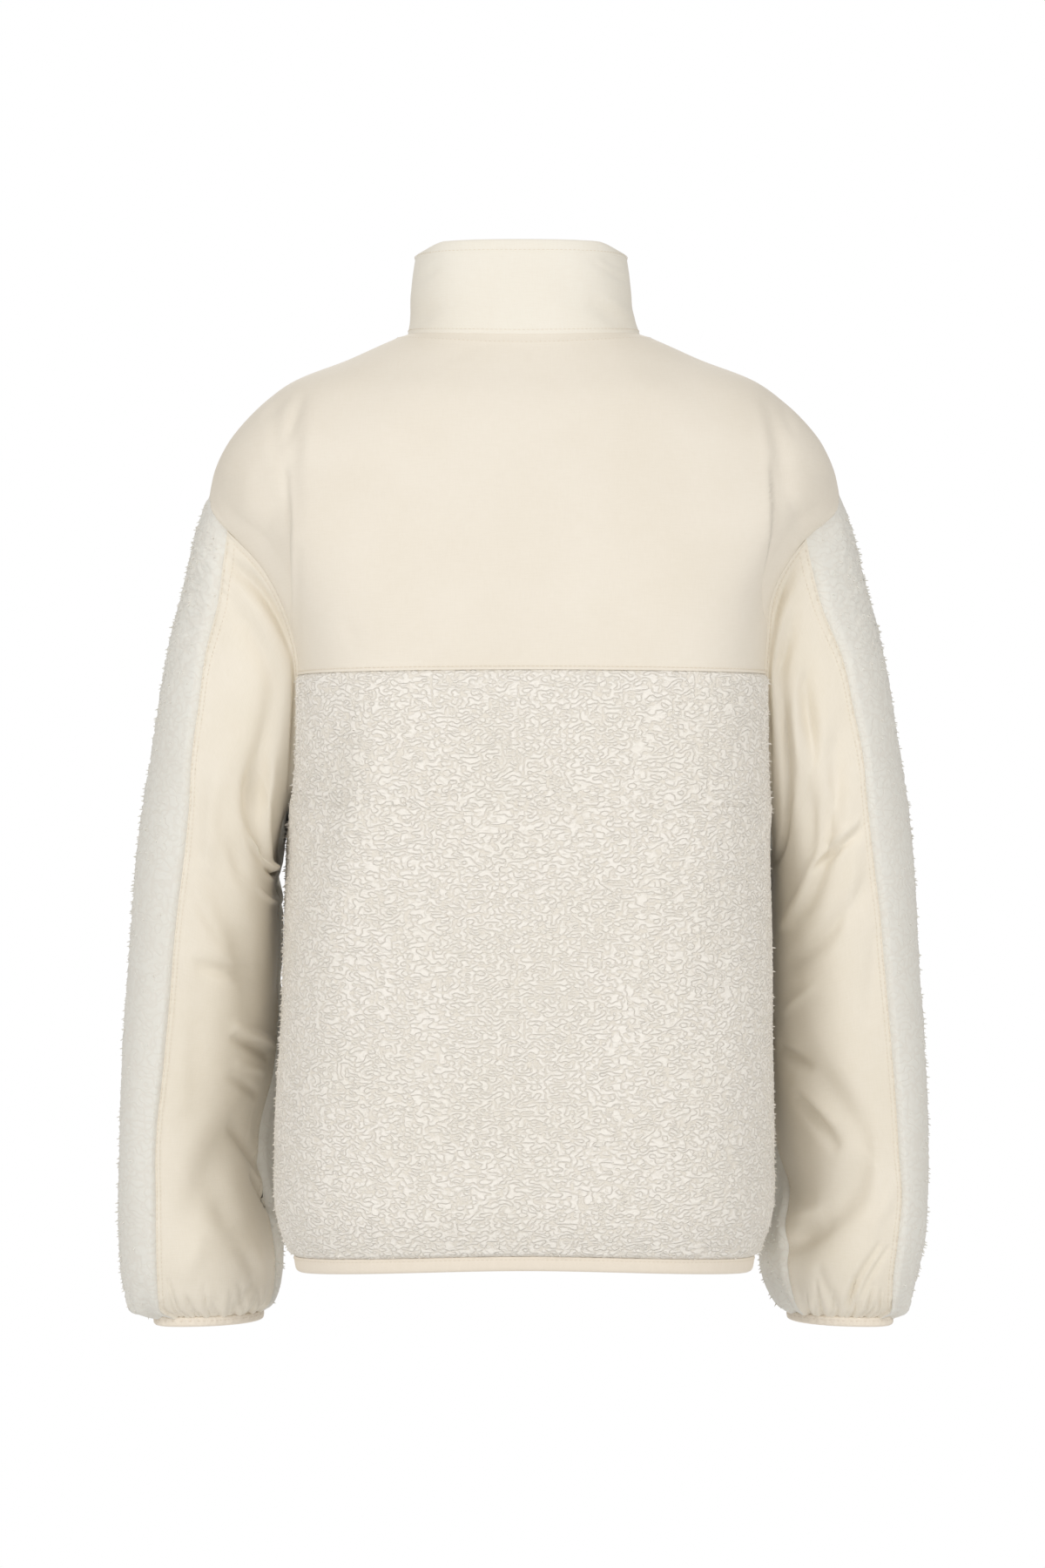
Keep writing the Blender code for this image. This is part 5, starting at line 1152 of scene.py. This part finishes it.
def sleevePanel(name, side, start, end, along, columns, isFleece, cloud):
    # A sleeve panel between two seams: surface + normal * (gathers + creases + seams or pile).
    share = np.linspace(0, 1, columns)[None, :] if isFleece else gradedShares(columns, 0.55)[None, :]
    degrees = start + (end - start) * share
    spread = np.broadcast_to(along, degrees.shape)
    base = sleeveSurface(side)(spread, degrees)
    middle = base.shape[0] // 2, base.shape[1] // 2
    axis = plainSleeve(side)(spread[middle[0]], np.arange(columns) * 360 / columns).mean(0)
    way = facing(gridNormals(base), base[middle] - axis)
    metres = cloth["sleeveGirth"] / 360
    fromStart, fromEnd = (degrees - start) * metres, (end - degrees) * metres
    pleats = 11 if isFleece else 6
    lift = gathers(spread, degrees, share, pleats)
    creases = armCreases(side, spread, degrees, sleeveCreases[side][-4:])
    if isFleece:
        pile = pileBySeams((np.minimum(fromStart, fromEnd), spread - along[0], along[-1] - spread))
        there = mirrored(base, side)
        pile = pileLift(there, pile, [cloud], lambda p: np.abs(p[..., 0]) < 0.235)
        pile = pile * (0.45 + 0.55 * smooth(spread / 0.035))
        pile = pile * (0.35 + 0.65 * smooth((cloth["sleeveEnd"] - spread) / 0.028))
        # tufts stand out most along the sleeve's outer line
        outerLine = np.exp(-((degrees - 166) / sleeves["tuftSpread"]) ** 2)
        tall = sleeves["curlHeight"] + (sleeves["tuftHeight"] - sleeves["curlHeight"]) * outerLine
        pile, pebbles = curly(there, pile, tall)
        atSeam = np.exp(-(np.minimum(fromStart, fromEnd) / sleeves["seamFade"]) ** 2)
        lift = lift * (1 - (1 - sleeves["gatherShare"]) * atSeam) + pile
        lift = lift + creases * (0.5 + 0.5 * atSeam)
        # curls hang: their tips reach down the arm
        down = unit(np.gradient(base, axis=0))
        fall = sleeves["curlFall"] * outerLine * (pile / cloth["pile"]) * (pebbles - 0.3)
        outer = base + way * lift[..., None] + down * fall[..., None]
        lower = smooth((spread - 0.46) / 0.06) * smooth((degrees - 300) / 20)
        weights = (0.04 + outerLine + 0.8 * lower) * (pile / cloth["pile"]) * (pebbles + 0.2)
        addLocks("sleeve", mirrored(outer, side), mirrored(way, side), mirrored(down, side), weights,
                 pileLocks["sleeve"])
        materials = [sleeveFleece, fleeceBack]
    else:
        wobble = np.sin(2 * np.pi * spread / sleeves["puckerLength"] + 5 * np.sin(spread * 70)
                        + 3 * np.sin(spread * 190))
        ridge = np.exp(-((fromEnd - 0.0025) / 0.0030) ** 2)
        inside = np.exp(-((fromStart - 0.0025) / 0.0030) ** 2)
        lift = lift * sleeves["gatherShare"] + creases
        lift = lift + foldLift(spread, degrees, cuffCreases(side), metres)
        lift = lift + (sleeves["ridge"] + sleeves["puckerHeight"] * wobble) * ridge
        lift = lift + (0.0004 + 0.6 * sleeves["puckerHeight"] * wobble) * inside
        lift = lift + seamProfile(spread - along[0], 0.0034)
        outer = base + way * lift[..., None]
        materials = [sleeveCloth, shellBack]
        base = base + way * lowest(lift, inward)[..., None]
    inner = (base - way * cloth["woven"])[coarsely]
    piece = wall(name, mirrored(outer, side), mirrored(inner, side), materials)
    clothPiece(piece)


def sleeveSide(side):
    # Each sleeve is a woven strip down the back and fleece round the rest.
    along = (cloth["sleeveEnd"] * gradedShares(sleeves["rows"], 0.25))[:, None]
    end = side.capitalize()
    inner, outer = sleeveSeam("inner" + end, along), sleeveSeam("outer" + end, along)
    sleevePanel("sleeveWoven" + end, side, inner, outer, along, sleeves["wovenColumns"], False, None)
    sleevePanel("sleeveFleece" + end, side, outer, inner + 360, along, sleeves["fleeceColumns"], True,
                bodyCloud(side))
    cuffBand(side)


collarAndBands()
for side in outward:
    sleeveSide(side)
print("cloth made")

sewing = {
    "pitch": 0.0031, "length": 0.0023, "thick": 0.00045,
    "overYoke": 0.0024, "underNeck": 0.006, "overBand": 0.7106, "overNeck": 0.6530, "hem": 0.0092,
    "fromZip": 0.007, "sleeveTop": 0.0039, "besideSeam": (0.0014, 0.0050), "insideSeam": 0.0030,
    "cuff": 0.5722,
}


def raised(surface, heights, turns, lift):
    # surface + normal * lift, and the normal.
    way = slopeNormals(surface, heights, turns)
    return surface(heights, turns) + way * np.asarray(lift)[..., None], way


def ontoBody(heights, turns, lift=0.0):
    # A line on the body with its creases, and its normals.
    x = plainBody(heights, turns)[..., 0]
    creases = foldLift(heights, x, backCreases) + stepLift(heights, x)
    creases = np.where(np.abs(turns) > 1, 0, creases) * smooth(np.abs(np.abs(turns) - 1) / 0.16)
    return raised(bodySurface, heights, turns, lift + creases)


def ontoCollar(heights, turns, lift=0.0):
    # A line on the collar, and its normals.
    way = slopeNormals(collarSurface, np.clip(heights, 0.652, 0.7165), turns)
    return collarSurface(heights, turns) + way * lift, way


def ontoSleeve(side, along, degrees, lift=0.0):
    # A line on a sleeve with its creases, mirrored to its side.
    surface = sleeveSurface(side)
    way = -slopeNormals(surface, along, degrees, stepB=0.5)
    points = surface(along, degrees) + way * (lift + armCreases(side, along, degrees))[..., None]
    return mirrored(points, side), mirrored(way, side)


def stitchRow(points, ways):
    # Stitches along a line: grains of thread from ring to ring, at even steps of its length.
    points = askew(points)
    length = np.concatenate([[0], np.cumsum(np.linalg.norm(np.diff(points, axis=0), axis=-1))])
    count = int(length[-1] / sewing["pitch"])
    middle = (np.arange(count) + 0.5) * length[-1] / count
    offsets = np.array([-0.5, 0.0, 0.5]) * sewing["length"]
    at = middle[:, None] + offsets[None, :]
    centre = np.stack([np.interp(at, length, points[:, i]) for i in range(3)], -1)
    up = np.stack([np.interp(at, length, ways[:, i]) for i in range(3)], -1)
    along = unit((centre[:, 2] - centre[:, 0])[:, None])
    across = unit(np.cross(along, up))
    up = np.cross(across, along)
    size = np.array([0.45, 1.0, 0.45]) * sewing["thick"] / 2
    rise = np.array([-0.6, 0.5, -0.6]) * sewing["thick"] / 2
    angle = np.arange(4) * np.pi / 2 + np.pi / 4
    ring = (centre[:, :, None] + up[:, :, None] * rise[None, :, None, None]
            + across[:, :, None] * (np.cos(angle)[None, None, :, None] * size[None, :, None, None])
            + up[:, :, None] * (np.sin(angle)[None, None, :, None] * size[None, :, None, None]))
    return ring.reshape(count, 12, 3)


grainQuads = np.concatenate([gridQuads(3, 4, True), [(3, 2, 1, 0)], [(8, 9, 10, 11)]])


def addGrains(name, shapes, quads, material, body="jacket", cornersEach=12):
    # Joins many small shapes of the same faces into one mesh.
    points = np.concatenate(shapes)
    starts = np.arange(len(points))[:, None, None] * cornersEach
    faces = (quads[None] + starts).reshape(-1, 4)
    piece = addMesh(name, points.reshape(-1, 3), [faces], [material])
    fixOutward(piece)
    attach(piece, body)
    print(f"{name}: {len(points)} shapes, {len(faces)} faces")
    return piece


def fixOutward(piece):
    # Turns every closed shape's faces outwards.
    work = bmesh.new()
    work.from_mesh(piece.data)
    bmesh.ops.recalc_face_normals(work, faces=work.faces)
    work.to_mesh(piece.data)
    work.free()


def bodySewing():
    # Topstitching of the yoke, neck, collar, hem and fronts.
    across = np.linspace(-0.995, 0.995, 500)
    rows = [stitchRow(*ontoBody(np.full(500, yokeSeam + sewing["overYoke"]), across, 0.0008))]
    heights = np.full(600, cloth["neck"] - sewing["underNeck"])
    edge = turnAt(bodyRing, heights[:1], 0.008)[0]
    rows.append(stitchRow(*ontoBody(heights, np.linspace(-edge, edge, 600), 0.0003)))
    edge = turnAt(collarRing, np.array([0.71]), sewing["fromZip"])[0]
    for height, lift in ((sewing["overBand"], 0.0004), (sewing["overNeck"], 0.0002)):
        rows.append(stitchRow(*ontoCollar(np.full(600, height), np.linspace(-edge, edge, 600), lift)))
    edge = turnAt(bodyRing, np.array([0.009]), sewing["fromZip"])[0]
    heights, turns = np.full(1200, sewing["hem"]), np.linspace(-edge, edge, 1200)
    rows.append(stitchRow(*raised(plainBody, heights, turns, 0.0013)))
    for side in outward:
        heights = np.linspace(yokeSeam + 0.002, cloth["neck"] - 0.008, 400)
        turns = turnAt(bodyRing, heights, cloth["halfOpening"] + 0.006) * outward[side]
        rows.append(stitchRow(*raised(bodySurface, heights, turns, 0.0003)))
        edge = turnAt(bodyRing, np.array([yokeSeam]), sewing["fromZip"])[0]
        turns = np.linspace(1.004, edge, 300) * outward[side]
        rows.append(stitchRow(*raised(bodySurface, np.full(300, yokeSeam + 0.0022), turns, 0.0004)))
    addGrains("bodyTopstitching", rows, grainQuads, thread)


def sleeveSewing(side):
    # Round the armhole on the sleeve, down both long seams, and round the cuff.
    end = side.capitalize()
    rows = []
    start, stop = sleeveSeam("inner" + end, 0.0), sleeveSeam("outer" + end, 0.0)
    degrees = np.linspace(start + 1, stop - 1, 300)
    rows.append(stitchRow(*ontoSleeve(side, np.full(300, sewing["sleeveTop"]), degrees, 0.0002)))
    along = np.linspace(0.006, cloth["sleeveEnd"] - 0.004, 900)
    metres = 360 / cloth["sleeveGirth"]
    for offset in sewing["besideSeam"]:
        degrees = sleeveSeam("outer" + end, along) - offset * metres
        lift = sleeves["ridge"] * np.exp(-((offset - 0.0025) / 0.0030) ** 2) + 0.0001
        rows.append(stitchRow(*ontoSleeve(side, along, degrees, lift)))
    degrees = sleeveSeam("inner" + end, along) + sewing["insideSeam"] * metres
    rows.append(stitchRow(*ontoSleeve(side, along, degrees, 0.0004)))
    degrees = np.linspace(0, 360, 400)
    way = -slopeNormals(plainSleeve(side), np.full(400, 0.5725), degrees, stepB=0.5)
    points = plainSleeve(side)(np.full(400, sewing["cuff"]), degrees) + way * 0.0013
    rows.append(stitchRow(mirrored(points, side), mirrored(way, side)))
    addGrains("sleeveTopstitching" + end, rows, grainQuads, thread)


bodySewing()
for side in outward:
    sleeveSewing(side)
lockQuads = np.concatenate([gridQuads(2, 4, True), [(3, 2, 1, 0)], [(4, 5, 6, 7)]])
addGrains("sleevePileLocks", locks["sleeve"], lockQuads, sleeveFleece, cornersEach=8)
addGrains("bodyPileLocks", locks["body"], lockQuads, fleece, cornersEach=8)

zipSizes = {
    "edge": 0.0012, "reach": 0.0150, "tape": 0.0008, "toothPitch": 0.0017, "toothTall": 0.00105,
    "toothThick": 0.0018, "toothFrom": -0.00055, "toothTo": 0.0030, "sliderFoot": 0.7044,
    "cord": 0.00035, "cordWide": 0.0006,
}
tapeDepths = np.array(((0.0015, .0033), (0.0110, .0033), (0.0135, .0028), (0.6440, .0028),
                       (0.6485, .0046), (0.6520, .0046), (0.6580, .0043), (0.7165, .0040)))


def zipPlace(heights, x, side):
    # A point x from the zip's middle, and the way out of the jacket there.
    neck = cloth["neck"]
    turns = np.where(heights > neck, turnAt(collarRing, heights, x), turnAt(bodyRing, heights, x))
    turns = turns * outward[side]
    below = slopeNormals(plainBody, np.minimum(heights, neck - 0.004), turns, 0.004, 0.002)
    above = slopeNormals(collarSurface, np.maximum(heights, neck + 0.004), turns, 0.004, 0.002)
    way = np.where((heights > neck)[..., None], above, below)
    depth = np.interp(heights, tapeDepths[:, 0], tapeDepths[:, 1])
    return frontLine(heights, turns) - way * depth[..., None], way


def zipTape(side):
    # A flat tape inside the front, thickness either side of its own middle.
    heights = np.linspace(tapeDepths[0, 0], tapeDepths[-1, 0], 361)[:, None]
    x = zipSizes["edge"] + (zipSizes["reach"] - zipSizes["edge"]) * np.linspace(0, 1, 13)[None, :]
    heights, x = np.broadcast_arrays(heights, x)
    middle, way = zipPlace(heights, x, side)
    half = zipSizes["tape"] / 2
    cord = zipSizes["cord"] * np.exp(-((x - zipSizes["toothTo"]) / zipSizes["cordWide"]) ** 2)
    outer = middle + way * (half + cord)[..., None]
    inner = (middle - way * half)[coarsely]
    piece = wall("zipTape" + side.capitalize(), outer, inner, [tapeCloth])
    clothPiece(piece)


def zipTeeth(side):
    # Teeth across the tape's edge: six-sided rings, narrow at the neck and full at the head.
    shift = 0.0 if side == "left" else zipSizes["toothPitch"] / 2
    heights = np.arange(0.0035 + shift, zipSizes["sliderFoot"], zipSizes["toothPitch"])
    x = np.array([zipSizes["toothFrom"], 0.0002, 0.0011, zipSizes["toothTo"]])
    tall = np.array([0.35, 0.52, 0.36, 0.42]) * zipSizes["toothTall"]
    thick = np.array([0.38, 0.50, 0.50, 0.50]) * zipSizes["toothThick"]
    root = np.full(len(heights), zipSizes["toothTo"])
    place, way = zipPlace(heights, root, side)
    above, _ = zipPlace(heights + 0.001, root, side)
    up = unit(above - place)
    across = np.cross(up, way)
    across = across * np.sign(across[:, :1]) * outward[side]
    angle = np.arange(6) * np.pi / 3 + np.pi / 6
    ring = (place[:, None, None] + across[:, None, None] * (x - x[-1])[None, :, None, None]
            + up[:, None, None] * (np.cos(angle)[None, :] * tall[:, None] * 1.15)[None, :, :, None]
            + way[:, None, None] * (np.sin(angle)[None, :] * thick[:, None])[None, :, :, None])
    return askew(ring.reshape(len(heights), 24, 3))


def caps(rings, sides):
    # End faces of a six-sided shape as two quads each.
    last = (rings - 1) * sides
    return np.array([(3, 2, 1, 0), (5, 4, 3, 0), (last, last + 1, last + 2, last + 3),
                     (last, last + 3, last + 4, last + 5)])


def softened(name, width, body):
    # A copy of the solid with its doubles merged and its edges rounded.
    work = bmesh.new()
    work.from_mesh(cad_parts[nodeOf(name)].data)
    bmesh.ops.remove_doubles(work, verts=work.verts, dist=1e-6)
    bmesh.ops.dissolve_limit(work, angle_limit=math.radians(2), verts=work.verts, edges=work.edges)
    sharp = [e for e in work.edges if len(e.link_faces) == 2 and e.calc_face_angle() > math.radians(30)]
    bmesh.ops.bevel(work, geom=sharp, offset=width, segments=3, profile=0.5, affect="EDGES",
                    clamp_overlap=True)
    bmesh.ops.recalc_face_normals(work, faces=work.faces)
    mesh = bpy.data.meshes.new(name)
    work.to_mesh(mesh)
    work.free()
    mesh.materials.clear()
    mesh.materials.append(zipPaint)
    mesh.shade_smooth()
    mesh.set_sharp_from_angle(angle=math.radians(40))
    piece = newObject(name, mesh)
    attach(piece, body)
    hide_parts(nodeOf(name))


for side in outward:
    zipTape(side)
toothFaces = np.concatenate([gridQuads(4, 6, True), caps(4, 6)])
addGrains("zipTeeth", [zipTeeth(side) for side in outward], toothFaces, toothPlastic,
          cornersEach=24)
softened("zipSlider", 0.0003, "jacket")
softened("zipPull", 0.00025, "pull")
print("zip made")

studio = {
    "floorZ": -1.43, "floorRadius": 3.2, "floorSides": 96,
    "ambient": 0.50, "ambientColour": "#fffbf6",
}
# Soft boxes: place, aim, size in metres, power in watts
softboxes = {
    "keyBox": ((1.7, 2.5, 0.9), (0, 0, -0.42), 1.3, 32.0),
    "fillBox": ((-1.7, 2.5, 0.7), (0, 0, -0.42), 1.3, 25.0),
    "frontBox": ((0.2, -2.8, 1.6), (0, 0, -0.3), 2.2, 22.0),
}


def addFloor():
    # A round disc of white paper.
    angle = np.linspace(0, 2 * np.pi, studio["floorSides"], endpoint=False)
    radius = studio["floorRadius"]
    level = np.full(len(angle), studio["floorZ"])
    points = np.stack([radius * np.cos(angle), radius * np.sin(angle), level], -1)
    mesh = bpy.data.meshes.new("studioFloor")
    mesh.from_pydata(points.tolist(), [], [list(range(len(angle)))])
    mesh.materials.append(paleFloor("studioPaper"))
    newObject("studioFloor", mesh)


def addSoftbox(name, place, aim, size, power):
    # A square soft light turned to its aim.
    lamp = bpy.data.lights.new(name, "AREA")
    lamp.shape = "SQUARE"
    lamp.size, lamp.energy = size, power
    made = newObject(name, lamp)
    made.location = place
    way = np.array(aim) - np.array(place)
    flat = math.hypot(way[0], way[1])
    made.rotation_euler = (math.atan2(flat, -way[2]), 0, math.atan2(-way[0], way[1]))


def addStudio():
    # White surroundings that the eye sees bright, and soft boxes beside the camera and in front.
    addFloor()
    for name, values in softboxes.items():
        addSoftbox(name, *values)
    world = bpy.data.worlds.new("studioWorld")
    world.use_nodes = True
    tree = world.node_tree
    seen = addNode(tree, "LightPath", output="Is Camera Ray")
    colours = {0: seen, 6: linear(studio["ambientColour"]), 7: linear("#ffffff")}
    bright = addNode(tree, "MapRange", {0: seen, 1: 0.0, 2: 1.0, 3: studio["ambient"], 4: 1.0})
    feed(tree, tree.nodes["Background"], {
        "Color": addNode(tree, "Mix", colours, 2, data_type="RGBA"), "Strength": bright})
    bpy.context.scene.world = world
    bpy.context.scene.view_settings.view_transform = "Standard"


addStudio()
added = [o for o in bpy.data.objects if o.type == "MESH" and o.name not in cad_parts]
print("triangles added:", sum(len(o.data.loops) - 2 * len(o.data.polygons) for o in added))
